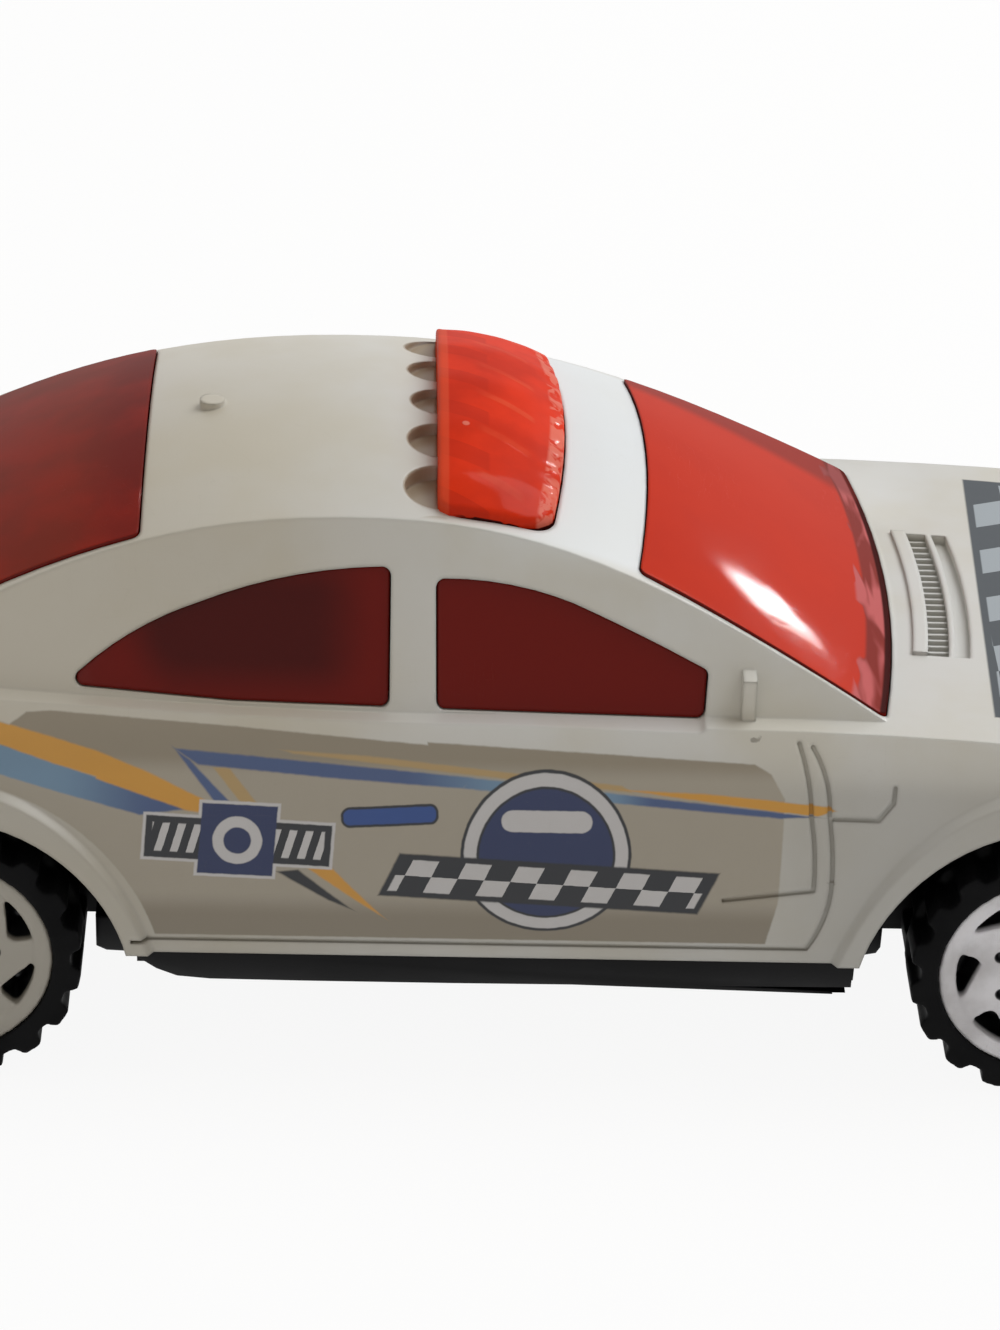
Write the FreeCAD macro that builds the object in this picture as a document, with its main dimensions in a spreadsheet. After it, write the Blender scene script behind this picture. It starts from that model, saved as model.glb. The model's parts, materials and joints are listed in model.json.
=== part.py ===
import FreeCAD, Part
import math
import operator
import os
import Sketcher
from FreeCAD import Placement, Rotation, Vector

# A small die-cast police car: a painted casting, a clear red moulding that holds every window and
# the light bar, a seat moulding, a black base, two wire axles and four wheels.
# Frame: +X is the nose, +Y the car's left-hand side, +Z up. The origin lies on the ground,
# half way along the car. All lengths are millimetres.

doc = FreeCAD.newDocument("toy_police_car")
sheet = doc.addObject("Spreadsheet::Sheet", "sizes")

# Driving dimensions: a name, a number and what it measures.
DIMENSIONS = [
    ("wheelbase", 43.0, "between the axle centres"),
    ("front_overhang", 16.0, "front axle to the nose"),
    ("rear_overhang", 16.0, "rear axle to the tail"),
    ("body_width", 28.0, "widest part of the casting, without the arch lips"),
    ("sill_height", 5.6, "ground to the lower edge of the casting"),
    ("belt_height", 15.0, "ground to the bonnet at the windscreen"),
    ("cabin_rise", 8.1, "bonnet to the top of the roof"),
    ("waist_width", 22.5, "greenhouse width at the belt"),
    ("rail_width", 17.3, "greenhouse width at the roof rails"),
    ("rail_rise", 6.4, "belt to the roof rails"),
    ("roof_crown", 2.2, "fall of the roof across the waist half width"),
    ("glass_bow", 0.95, "bow of the two screens in plan"),
    ("flank_height", 8.1, "ground to the widest part of the round flanks"),
    ("straight_length", 40.0, "straight part of the sides"),
    ("corner_bend", 60.0, "radius in plan of the sides ahead of and behind the straight part"),
    ("nose_bend", 30.0, "radius in plan of the nose and tail"),
    ("shell_wall", 1.1, "wall of the casting"),
    ("window_corner", 0.35, "rounding of the window corners"),
    ("glass_wall", 0.8, "wall of the clear moulding"),
    ("fit_gap", 0.06, "gap between pieces that are fixed together"),
    ("side_glass_recess", 0.15, "side windows below the casting's surface"),
    ("screen_stand", 0.12, "screens above the casting's surface"),
    ("front_arch_radius", 7.5, "front wheel opening"),
    ("rear_arch_radius", 7.2, "rear wheel opening"),
    ("arch_drop", 1.15, "centre of the openings below the axle"),
    ("lip_width", 1.0, "raised lip round a wheel opening"),
    ("lip_stand", 0.35, "height of that lip above the side"),
    ("groove_width", 0.17, "shut lines"),
    ("groove_depth", 0.12, "shut lines"),
    ("panel_depth", 0.3, "lamp and grille recesses"),
    ("panel_corner", 0.2, "rounding of the lamp outlines"),
    ("bar_length", 5.0, "light bar along the car"),
    ("bar_width", 16.1, "light bar across the car"),
    ("bar_rise", 1.25, "light bar above the roof"),
    ("bar_back_place", 2.6, "rear face of the light bar behind mid wheelbase"),
    ("bar_corner", 0.9, "rounding of the bar's corners in plan"),
    ("scallop_radius", 1.35, "outermost of the half-round recesses behind the light bar"),
    ("scallop_step", 0.12, "how much smaller each recess towards the middle is"),
    ("scallop_depth", 0.4, "recesses behind the light bar"),
    ("scallop_pitch", 3.2, "from recess to recess"),
    ("nub_radius", 0.5, "round nub on the roof"),
    ("nub_place", 11.6, "roof nub behind mid wheelbase"),
    ("mirror_length", 0.55, "mirror stub along the car"),
    ("mirror_height", 2.3, "mirror stub"),
    ("mirror_stand", 0.5, "mirror stub out of the greenhouse side"),
    ("vent_width", 10.8, "bonnet vents across the car"),
    ("vent_bend", 48.0, "radius of the vents in plan"),
    ("vent_front_place", 18.95, "front edge of the vents ahead of mid wheelbase"),
    ("vent_slot", 0.6, "front slot of the vents, along the car"),
    ("vent_ridge", 0.25, "ridge between the two vent slots"),
    ("vent_band", 0.85, "ribbed slot of the vents, along the car"),
    ("vent_hood", 0.6, "raised band behind the vents"),
    ("vent_hood_rise", 0.15, "raised band behind the vents"),
    ("vent_drop", 0.62, "floor of the vent slots below the belt"),
    ("vent_rib", 0.16, "rib thickness in the vents"),
    ("vent_rib_height", 0.2, "ribs above the floor of the vent slots"),
    ("post_radius", 1.6, "inner posts of the casting"),
    ("post_reach", 8.6, "posts beyond the axles"),
    ("rivet_radius", 0.95, "post end that passes through the base"),
    ("rivet_head_radius", 1.5, "spun head of a post"),
    ("rivet_head_height", 0.4, "spun head of a post"),
    ("base_bottom", 4.55, "ground to the underside of the base"),
    ("base_top", 6.8, "ground to the top of the base"),
    ("base_edge_inset", 0.55, "visible edge of the base inside the sills"),
    ("well_reach", 7.45, "wheel cut-outs of the base, to each side of the axle"),
    ("skirt_step", 0.2, "rise of the base's edge before the front skirt"),
    ("skirt_drop", 0.25, "front end of the base's edge below its underside"),
    ("relief_height", 0.3, "silencer relief under the base"),
    ("silencer_place", 11.0, "rear end of the silencer relief behind mid wheelbase"),
    ("silencer_length", 8.0, "silencer relief"),
    ("silencer_width", 7.0, "silencer relief"),
    ("pipe_radius", 0.7, "pipes and beads under the base"),
    ("axle_radius", 0.5, "axle wire"),
    ("axle_gap", 0.06, "axle in its slots and in the hubs"),
    ("axle_head_radius", 0.85, "upset head of an axle"),
    ("axle_head_height", 0.35, "upset head of an axle"),
    ("axle_housing_radius", 1.3, "bead of the base under an axle"),
    ("tyre_radius", 5.37, "over the tread blocks"),
    ("tyre_width", 4.4, "tyre"),
    ("track_over_tyres", 28.4, "outer tyre face to outer tyre face"),
    ("tread_height", 0.45, "tread blocks"),
    ("tread_floor", 0.28, "half a notch between tread blocks, at its floor"),
    ("tread_mouth", 0.58, "half a notch between tread blocks, at its mouth"),
    ("tread_rib", 0.3, "rib between the two rows of notches"),
    ("hub_radius", 4.22, "silver hub"),
    ("rim_width", 0.68, "outer ring of a hub"),
    ("rim_stand", 0.16, "outer ring above the spokes"),
    ("hub_face_inset", 0.12, "hub ring inside the tyre's side"),
    ("slot_depth", 1.9, "spoke openings of a hub"),
    ("boss_radius", 1.35, "centre of a hub"),
    ("boss_side_gap", 0.25, "hub boss to the base"),
    ("cap_radius", 1.2, "raised centre of a hub"),
    ("cap_stand", 0.1, "raised centre above the spokes"),
    ("head_pocket_depth", 0.5, "pocket that hides an axle head"),
    ("slot_inner_radius", 2.6, "inner corner of a spoke opening"),
    ("slot_round", 0.22, "cut-off of the opening's wide corner"),
    ("nut_circle_radius", 1.95, "circle of the lug nut holes"),
    ("nut_radius", 0.24, "lug nut hole"),
    ("nut_depth", 0.35, "lug nut hole"),
    ("floor_wall", 0.9, "floor of the seat moulding"),
    ("tub_wall", 0.7, "sides of the seat moulding"),
    ("tub_front", 14.2, "front end of the seat moulding"),
    ("tub_back", 16.4, "rear end of the seat moulding, behind mid wheelbase"),
    ("tub_width", 19.0, "seat moulding between the wheels"),
    ("rim_overhang", 0.9, "rim of the seat moulding beyond its sides"),
    ("seat_width", 5.6, "front seat"),
    ("seat_pitch", 8.6, "between the front seat centres"),
    ("seat_height", 3.6, "seat cushion above the floor"),
    ("backrest_rise", 7.4, "backrest above the cushion"),
    ("seat_round", 0.5, "fall of the cushions to the rear"),
    ("seat_depth", 5.4, "cushions, along the car"),
    ("backrest_wall", 1.2, "backrests"),
    ("front_seat_place", 3.2, "front edge of the front seats ahead of mid wheelbase"),
    ("bench_place", 7.4, "front edge of the bench behind mid wheelbase"),
    ("bench_width", 15.6, "bench"),
    ("bench_rise", 4.4, "bench backrest above its cushion"),
    ("dash_length", 4.6, "dashboard, along the car"),
    ("column_length", 1.2, "steering column"),
    ("dash_height", 6.4, "dashboard above the floor"),
    ("steering_wheel_radius", 1.7, "steering wheel"),
    ("steering_rim_radius", 0.28, "steering wheel rim"),
    ("foot_width", 6.0, "axle feet of the seat moulding, across the car"),
    ("curve_slack", 0.1, "how close the body's profile curves pass by their points"),
    ("overrun", 3.0, "how far a cutting shape passes the face it cuts"),
]
COUNTS = [
    ("tread_count", 18, "tread blocks in a row"),
    ("spoke_count", 7, "spokes of a hub"),
    ("scallop_count", 5, "half-round recesses behind the light bar"),
    ("vent_rib_count", 21, "ribs in the bonnet vents"),
]
ANGLES = [
    ("slot_span", 36.0, "angle of a spoke opening along the rim, degrees"),
    ("slot_lean", 17.0, "angle of its wide inner corner, degrees"),
    ("slot_blunt", 5.0, "angle over which that corner is cut off, degrees"),
    ("hub_turn", 30.5, "how far the hubs are turned at rest, degrees"),
]

for row, (alias, number, meaning) in enumerate(DIMENSIONS + COUNTS + ANGLES, start=1):
    sheet.set("A%d" % row, alias)
    sheet.set("B%d" % row, str(number))
    sheet.set("C%d" % row, meaning)
    sheet.setAlias("B%d" % row, alias)
doc.recompute()


class Size:
    """A number from the sheet, or worked out from it, with the formula that the document keeps."""

    def __init__(self, number, formula):
        self.number = number
        self.formula = formula

    def joined(self, other, sign, rule):
        if not isinstance(other, Size):
            other = Size(float(other), "%.10g" % other)
        formula = "(%s %s %s)" % (self.formula, sign, other.formula)
        return Size(rule(self.number, other.number), formula)

    def __add__(self, other):
        return self.joined(other, "+", operator.add)

    def __sub__(self, other):
        return self.joined(other, "-", operator.sub)

    def __mul__(self, other):
        return self.joined(other, "*", operator.mul)

    def __truediv__(self, other):
        return self.joined(other, "/", operator.truediv)

    def __neg__(self):
        return Size(-self.number, "(-%s)" % self.formula)

    def __float__(self):
        return float(self.number)

    def __index__(self):
        return round(self.number)


def size(alias):
    """The size that the sheet keeps under this name."""
    return Size(float(sheet.get(alias)), "sizes.%s" % alias)


def turned(length, angle, function, word):
    """A length times the sine or cosine of an angle in degrees."""
    number = length.number * function(math.radians(angle.number))
    return Size(number, "(%s * %s(%s * 1 deg))" % (length.formula, word, angle.formula))


def along(length, angle):
    return turned(length, angle, math.cos, "cos")


def across(length, angle):
    return turned(length, angle, math.sin, "sin")


# Places that several pieces share.
none = Size(0.0, "0")
wall = size("shell_wall")
half_wheelbase = size("wheelbase") / 2
half_length = (size("wheelbase") + size("front_overhang") + size("rear_overhang")) / 2
middle = (size("front_overhang") - size("rear_overhang")) / 2
half_width = size("body_width") / 2
side_height = size("belt_height") - size("sill_height")
axle_height = size("tyre_radius")
arch_height = axle_height - size("arch_drop")
wheel_centre = (size("track_over_tyres") - size("tyre_width")) / 2
axle_slot_radius = size("axle_radius") + size("axle_gap")
hub_face = size("tyre_width") / 2 - size("hub_face_inset")
spoke_face = hub_face - size("rim_stand")
pocket_floor = spoke_face + size("cap_stand") - size("head_pocket_depth")
tyre_inner_face = wheel_centre - size("tyre_width") / 2
base_half_width = tyre_inner_face - size("boss_side_gap") * 2
floor_top = size("base_top") + size("fit_gap") + size("floor_wall")
rim_top = size("belt_height") - wall - size("fit_gap") * 2
overrun = size("overrun")
fit_gap = size("fit_gap")


def bind(thing, **values):
    """Give an object's properties their numbers and the formulas that keep them."""
    for name, value in values.items():
        setattr(thing, name, value.number)
        thing.setExpression(name, value.formula)
    return thing


def place(thing, turn=None, **places):
    """Turn an object, then tie its place to the sheet."""
    if turn is not None:
        thing.Placement = Placement(Vector(), turn)
    for axis, value in places.items():
        thing.setExpression("Placement.Base." + axis, value.formula)
    return thing


def solid(name, shape):
    """An object that holds a free-form shape."""
    thing = doc.addObject("Part::Feature", name)
    thing.Shape = shape
    return thing


def fused(name, pieces):
    thing = doc.addObject("Part::MultiFuse", name)
    thing.Shapes = pieces
    return thing


def shared(name, pieces):
    thing = doc.addObject("Part::MultiCommon", name)
    thing.Shapes = pieces
    return thing


def cut(name, base, tool):
    thing = doc.addObject("Part::Cut", name)
    thing.Base = base
    thing.Tool = tool
    return thing


def box(name, x, y, z):
    """A box between two places along each axis, each given as a pair of sizes."""
    thing = doc.addObject("Part::Box", name)
    bind(thing, Length=x[1] - x[0], Width=y[1] - y[0], Height=z[1] - z[0])
    return place(thing, x=x[0], y=y[0], z=z[0])


def upright(name, radius, x, y, z):
    """A cylinder that stands between two heights."""
    thing = doc.addObject("Part::Cylinder", name)
    bind(thing, Radius=radius, Height=z[1] - z[0])
    return place(thing, x=x, y=y, z=z[0])


def crossways(name, radius, x, y, z):
    """A cylinder that lies along Y between two places."""
    thing = doc.addObject("Part::Cylinder", name)
    bind(thing, Radius=radius, Height=y[1] - y[0])
    return place(thing, Rotation(Vector(1, 0, 0), -90), x=x, y=y[0], z=z)


def lengthways(name, radius, x, y, z):
    """A cylinder that lies along X between two places."""
    thing = doc.addObject("Part::Cylinder", name)
    bind(thing, Radius=radius, Height=x[1] - x[0])
    return place(thing, Rotation(Vector(0, 1, 0), 90), x=x[0], y=y, z=z)


def new_body(name):
    body = doc.addObject("PartDesign::Body", name)
    body.Label = name
    return body


def new_sketch(body, name, role, lift=None, turn=None):
    """A sketch on one of the body's own planes, lifted off it by a size."""
    sketch = body.newObject("Sketcher::SketchObject", name)
    plane = [f for f in body.Origin.OriginFeatures if f.Role == role][0]
    sketch.AttachmentSupport = [(plane, "")]
    sketch.MapMode = "FlatFace"
    if turn is not None:
        sketch.AttachmentOffset = Placement(Vector(), Rotation(Vector(0, 0, 1), turn.number))
        sketch.setExpression("AttachmentOffset.Rotation.Angle", "%s * 1 deg" % turn.formula)
    if lift is not None:
        sketch.setExpression("AttachmentOffset.Base.z", lift.formula)
    return sketch


def pin_point(sketch, edge, end, name, where):
    """Tie one end of an edge to its two distances from the sketch's origin."""
    for kind, value, axis in (("DistanceX", where[0], -2), ("DistanceY", where[1], -1)):
        if not isinstance(value, Size):
            sketch.addConstraint(Sketcher.Constraint("PointOnObject", edge, end, axis))
            continue
        constraint = Sketcher.Constraint(kind, -1, 1, edge, end, value.number)
        index = sketch.addConstraint(constraint)
        word = "%s_%s" % (name, kind[-1].lower())
        sketch.renameConstraint(index, word)
        sketch.setExpression("Constraints." + word, value.formula)


def outline(sketch, corners):
    """A closed outline of straight lines, each corner tied to the sheet."""
    places = [Vector(float(x), float(y), 0) for x, y in corners]
    first = sketch.GeometryCount
    for index, start in enumerate(places):
        sketch.addGeometry(Part.LineSegment(start, places[(index + 1) % len(places)]))
    for index, corner in enumerate(corners):
        before = first + (index - 1) % len(places)
        sketch.addConstraint(Sketcher.Constraint("Coincident", before, 2, first + index, 1))
        pin_point(sketch, first + index, 1, "corner%d" % (first + index), corner)
    return sketch


def body_axis(body, role):
    return [f for f in body.Origin.OriginFeatures if f.Role == role][0]


def revolved(body, name, sketch):
    """The sketch turned once round its own upright axis."""
    thing = body.newObject("PartDesign::Revolution", name)
    thing.Profile = sketch
    thing.ReferenceAxis = (sketch, ["V_Axis"])
    thing.Angle = 360.0
    sketch.Visibility = False
    return thing


def padded(body, name, sketch, length, both_ways=False, backwards=False):
    thing = body.newObject("PartDesign::Pad", name)
    thing.Profile = sketch
    bind(thing, Length=length)
    thing.Midplane = both_ways
    thing.Reversed = backwards
    return thing


def pocketed(body, name, sketch, depth, backwards=False):
    thing = body.newObject("PartDesign::Pocket", name)
    thing.Profile = sketch
    bind(thing, Length=depth)
    thing.Reversed = backwards
    return thing


def round_pattern(body, name, features, count):
    """Features repeated round the body's Y axis."""
    thing = body.newObject("PartDesign::PolarPattern", name)
    thing.Originals = features
    thing.Axis = (body_axis(body, "Y_Axis"), [""])
    thing.Angle = 360.0
    thing.Occurrences = int(count.number)
    thing.setExpression("Occurrences", count.formula)
    body.Tip = thing
    return thing


# Shape of the lower body. Places along the car are shares of its half length, heights are shares
# of the side's height above the sill, and widths are shares of the half width.
DECK_SHARES = [(1.07, 0.36), (1.03, 0.50), (0.985, 0.605), (0.94, 0.69), (0.88, 0.775), (0.76, 0.865),
               (0.58, 0.945), (0.40, 1.0), (0.0, 1.0), (-0.22, 1.015), (-0.45, 1.05), (-0.72, 1.075),
               (-0.88, 1.06), (-0.95, 1.01), (-1.0, 0.91), (-1.05, 0.75)]
# Shape of the cabin along the car: shares of the half length and of the cabin's rise.
ROOF_SHARES = [(0.465, -0.15), (0.425, -0.006), (0.2987, 0.345), (0.157, 0.715), (0.04, 0.895),
               (-0.16, 1.0), (-0.347, 0.92), (-0.493, 0.68), (-0.627, 0.33), (-0.736, -0.01),
               (-0.775, -0.15)]
ROOF_TOP_SHARE = -0.16
CABIN_PLAN_SHARES = [(-0.85, 0.90), (-0.35, 1.0), (0.05, 1.0), (0.55, 0.985)]


def arcs(points):
    """A run of arcs, each through three of the points, or straight lines if they are only a few."""
    if len(points) % 2 == 0:
        return [Part.makeLine(a, b) for a, b in zip(points, points[1:])]
    return [Part.Arc(a, b, c).toShape() for a, b, c in zip(points[::2], points[1::2], points[2::2])]


def light_curve(points):
    """A smooth curve with few spans that passes close by the points."""
    curve = Part.BSplineCurve()
    curve.approximate(Points=[Vector(*p) for p in points], DegMin=3, DegMax=3,
                      Tolerance=size("curve_slack").number, Continuity="C2")
    return curve


def skin(rows, curve, section):
    """A face from rows of poles, with the spans of the two curves that the rows came from."""
    patch = Part.BSplineSurface()
    patch.buildFromPolesMultsKnots(rows, curve.getMultiplicities(), section.getMultiplicities(),
                                   curve.getKnots(), section.getKnots(), False, False,
                                   curve.Degree, section.Degree)
    return patch


def whole(faces):
    """The solid inside a closed set of faces."""
    shell = Part.Shell(faces)
    shell.sewShape()
    block = Part.Solid(shell)
    if block.Volume < 0:
        block.reverse()
    return block


def between(right, left):
    """The solid between two skins that face each other."""
    faces = [right.toShape(), left.toShape()]
    for near, far_side in ((right.uIso(0), left.uIso(0)), (right.uIso(1), left.uIso(1)),
                           (right.vIso(0), left.vIso(0)), (right.vIso(1), left.vIso(1))):
        faces.append(Part.makeRuledSurface(near.toShape(), far_side.toShape()))
    return whole(faces)


def swept(curve, reach, spot, plain):
    """The solid below a sweep across the car. The sweep is bowed, or two plain slopes if asked.

    The spot function gives the place of a pole from the curve, at a bend of the cross curve.
    """
    sides = ((-1, 1), (0, 0), (1, 1)) if plain else ((-1, 1), (0, -1), (1, 1))
    rows = [[spot(pole, bend) + Vector(0, side * reach, 0) for side, bend in sides]
            for pole in curve.getPoles()]
    bend = Part.BezierCurve()
    bend.setPoles([Vector(step, 0, 0) for step in range(2 if plain else 3)])
    ranges = ((0, 2), (1, 3)) if plain else ((0, 3),)
    skins = [skin([row[first:last] for row in rows], curve, bend.toBSpline()) for first, last in ranges]
    faces = []
    for patch in skins:
        faces += [patch.toShape(), Part.makeRuledSurface(patch.uIso(0).toShape(), patch.uIso(1).toShape())]
    for rim in (skins[0].vIso(0), skins[-1].vIso(1)):
        faces.append(Part.Face(Part.Wire([rim.toShape(), Part.makeLine(rim.value(1), rim.value(0))])))
    return whole(faces)


def bulge(radius, x, y, end, tall):
    """A standing disc round one place, with everything on the far side of that place."""
    low = -overrun.number
    reach = half_length.number * 4
    start = x - reach if end > 0 else x
    block = Part.makeBox(reach, reach, tall, Vector(start, -reach / 2, low))
    return Part.makeCylinder(radius, tall, Vector(x, y, low)).fuse(block)


def plan_block(inset):
    """The lower body's outline in plan, straight beside the doors, drawn in by a wall."""
    tall = size("belt_height").number * 2
    reach = half_width.number - inset
    straight = size("straight_length").number / 2
    corner = size("corner_bend").number
    bend = size("nose_bend").number - inset
    blank = Part.makeBox(half_length.number * 4, reach * 2, tall,
                         Vector(-half_length.number * 2, -reach, -overrun.number))
    for end in (1, -1):
        tip = end * (half_length.number - inset)
        blank = blank.common(bulge(bend, middle.number + tip - end * bend, 0, end, tall))
        for side in (1, -1):
            centre = side * (half_width.number - corner)
            blank = blank.common(bulge(corner - inset, middle.number + end * straight, centre, end, tall))
    return blank


def deck_block(inset, plain):
    """Nose, bonnet, boot and tail of the lower body in side view, drawn in by a wall.

    The profile is a smooth curve, or straight lines for the faces that nobody sees.
    """
    sill = size("sill_height").number
    points = []
    for x_share, z_share in DECK_SHARES:
        x = middle.number + x_share * (half_length.number - inset)
        points.append(Vector(x, 0, sill + z_share * side_height.number - inset * max(z_share, 0)))
    if plain:
        top = Part.makePolygon(points).Edges
    else:
        curve = light_curve(points)
        points = [curve.StartPoint, curve.EndPoint]
        top = [curve.toShape()]
    start, end = points[0], points[-1]
    corners = [end, Vector(end.x, 0, sill - overrun.number), Vector(start.x, 0, sill - overrun.number), start]
    profile = Part.Face(Part.Wire(top + [Part.makeLine(a, b) for a, b in zip(corners, corners[1:])]))
    reach = half_width.number + overrun.number / 3
    profile.translate(Vector(0, -reach, 0))
    return profile.extrude(Vector(0, reach * 2, 0))


def hull(name, inset, plain=False):
    """The lower body's solid form, drawn in by a wall: a round section, an outline and a profile."""
    reach = half_length * 2
    section = lengthways(name + "_section", half_width - inset, (-reach, reach), none,
                         size("flank_height"))
    form = solid(name + "_form", plan_block(inset.number).common(deck_block(inset.number, plain)))
    return shared(name, [section, form])


def cabin_sides(inset):
    """The leaning flanks of the greenhouse, drawn in by a wall."""
    waist = size("waist_width").number / 2
    rail = size("rail_width").number / 2
    lean = (waist - rail) / size("rail_rise").number
    heights = (-side_height.number / 4, size("cabin_rise").number + overrun.number)
    plan = light_curve([(x * half_length.number, y * waist, 0) for x, y in CABIN_PLAN_SHARES])
    rise = Part.BezierCurve()
    rise.setPoles([Vector(), Vector(1, 0, 0)])
    flanks = []
    for side in (1, -1):
        rows = [[Vector(middle.number + pole.x, side * (pole.y - inset - lean * z),
                        size("belt_height").number + z) for z in heights] for pole in plan.getPoles()]
        flanks.append(skin(rows, plan, rise.toBSpline()))
    return between(flanks[0], flanks[1])


def cabin_roof(inset, plain):
    """Windscreen, roof and rear window in one crowned sweep, drawn in by a wall."""
    length = half_length.number
    rise = size("cabin_rise").number
    curve = light_curve([(x * length, 0, z * rise) for x, z in ROOF_SHARES])

    def spot(pole, bend):
        lean = pole.x / length - ROOF_TOP_SHARE
        slope = math.copysign(min(1, abs(lean) * 2), lean)
        back = slope * (size("glass_bow").number * bend + inset)
        fall = (inset + size("roof_crown").number * bend) * max(pole.z / rise, 0)
        return Vector(middle.number + pole.x - back, 0, size("belt_height").number + pole.z - fall)

    return swept(curve, (size("waist_width").number + overrun.number / 3) / 2, spot, plain)


def cabin(name, inset, plain=False):
    """The cabin's solid form, drawn in by a wall."""
    blank = cabin_sides(inset.number).common(cabin_roof(inset.number, plain))
    return solid(name, blank)


def make_axle(name, x):
    """A steel wire with an upset head at each end, held by its hubs."""
    body = new_body(name)
    head = size("axle_head_radius")
    shaft = size("axle_radius")
    under = wheel_centre + pocket_floor + fit_gap
    end = under + size("axle_head_height")
    sketch = outline(new_sketch(body, name + "_profile", "XY_Plane"), [
        (0, -end), (head, -end), (head, -under), (shaft, -under),
        (shaft, under), (head, under), (head, end), (0, end)])
    revolved(body, name + "_wire", sketch)
    return place(body, x=x, z=axle_height)


def make_tyre(name, x, side):
    """A tyre whose two rows of chunky tread blocks are cut half a pitch apart."""
    body = new_body(name)
    edge = size("tyre_width") / 2
    crest = size("tyre_radius")
    seat = size("hub_radius")
    sketch = outline(new_sketch(body, name + "_profile", "XY_Plane"),
                     [(seat, -edge), (crest, -edge), (crest, edge), (seat, edge)])
    revolved(body, name + "_carcass", sketch)
    rib = size("tread_rib") / 2
    floor = crest - size("tread_height")
    brim = crest + size("tread_height") / 4
    half_pitch = Size(180.0, "180") / size("tread_count")
    rows = []
    for row, lift, turn, backwards in (("outer", rib, None, True), ("inner", -rib, half_pitch, False)):
        notch = new_sketch(body, "%s_%s_notch" % (name, row), "XZ_Plane", lift, turn)
        outline(notch, [(floor, -size("tread_floor")), (brim, -size("tread_mouth")),
                        (brim, size("tread_mouth")), (floor, size("tread_floor"))])
        rows.append(pocketed(body, "%s_%s_row" % (name, row), notch, edge, backwards))
    round_pattern(body, name + "_tread", rows, size("tread_count"))
    turn = None if side < 0 else Rotation(Vector(0, 0, 1), 180)
    return place(body, turn, x=x, y=wheel_centre * side, z=axle_height)


def spoke_window(sketch, ring):
    """One spoke opening: an arc along the rim, a pointed end and a blunt, leaning end."""
    half_span = size("slot_span") / 2
    angle = math.radians(half_span.number)
    inner = size("slot_inner_radius")
    corners = [(along(inner, size("slot_lean") - size("slot_blunt")),
                -across(inner, size("slot_lean") - size("slot_blunt"))),
               (along(inner + size("slot_round"), size("slot_lean")),
                -across(inner + size("slot_round"), size("slot_lean")))]
    rise = across(ring, half_span)
    far = float(along(ring, half_span))
    path = [Vector(far, rise.number, 0)]
    path += [Vector(float(x), float(y), 0) for x, y in corners]
    path.append(Vector(far, -rise.number, 0))
    rim_circle = Part.Circle(Vector(), Vector(0, 0, 1), ring.number)
    sketch.addGeometry(Part.ArcOfCircle(rim_circle, -angle, angle))
    for start, end in zip(path, path[1:]):
        sketch.addGeometry(Part.LineSegment(start, end))
    sketch.addConstraint(Sketcher.Constraint("Coincident", 0, 3, -1, 1))
    for edge in range(3):
        sketch.addConstraint(Sketcher.Constraint("Coincident", edge, 2, edge + 1, 1))
    sketch.addConstraint(Sketcher.Constraint("Coincident", 3, 2, 0, 1))
    bound = [("rim", Sketcher.Constraint("Radius", 0, ring.number), ring),
             ("point_rise", Sketcher.Constraint("DistanceY", -1, 1, 0, 2, rise.number), rise),
             ("blunt_rise", Sketcher.Constraint("DistanceY", -1, 1, 0, 1, -rise.number), -rise)]
    for word, constraint, value in bound:
        index = sketch.addConstraint(constraint)
        sketch.renameConstraint(index, word)
        sketch.setExpression("Constraints." + word, value.formula)
    for edge, corner in zip((2, 3), corners):
        pin_point(sketch, edge, 1, "corner%d" % edge, corner)
    return sketch


def make_hub(name, x, side):
    """A silver hub: leaning spokes between deep openings, and a centre bored for the axle."""
    body = new_body(name)
    bore = axle_slot_radius
    rim = size("hub_radius")
    ring = rim - size("rim_width")
    cap = size("cap_radius")
    cap_face = spoke_face + size("cap_stand")
    pocket = size("axle_head_radius") + fit_gap
    back = size("tyre_width") / 2 - size("hub_face_inset")
    boss = size("boss_radius")
    boss_end = size("tyre_width") / 2 + size("boss_side_gap")
    sketch = outline(new_sketch(body, name + "_profile", "XY_Plane"), [
        (bore, -pocket_floor), (pocket, -pocket_floor), (pocket, -cap_face), (cap, -cap_face),
        (cap, -spoke_face), (ring, -spoke_face), (ring, -hub_face), (rim, -hub_face),
        (rim, back), (boss, back), (boss, boss_end), (bore, boss_end)])
    revolved(body, name + "_casting", sketch)
    window = new_sketch(body, name + "_opening", "XZ_Plane", spoke_face)
    opening = pocketed(body, name + "_window", spoke_window(window, ring), size("slot_depth"))
    half_turn = Size(180.0, "180") / size("spoke_count")
    nut = new_sketch(body, name + "_nut", "XZ_Plane", spoke_face)
    centre = (along(size("nut_circle_radius"), half_turn), across(size("nut_circle_radius"), half_turn))
    sixth = Size(60.0, "60")
    flats = [(centre[0] + along(size("nut_radius"), sixth * step),
              centre[1] + across(size("nut_radius"), sixth * step)) for step in range(6)]
    hole = pocketed(body, name + "_nut_hole", outline(nut, flats), size("nut_depth"))
    round_pattern(body, name + "_spokes", [opening, hole], size("spoke_count"))
    turn = Rotation(Vector(0, -1, 0), size("hub_turn").number)
    if side > 0:
        turn = Rotation(Vector(0, 0, 1), 180).multiply(turn)
    return place(body, turn, x=x, y=wheel_centre * side, z=axle_height)


def height_at(shape, x, y):
    """Height of a solid's top over one point."""
    low = Vector(x, y, 0)
    high = Vector(x, y, size("belt_height").number * 3)
    return Part.makeLine(low, high).common(shape).BoundBox.ZMax


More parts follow.
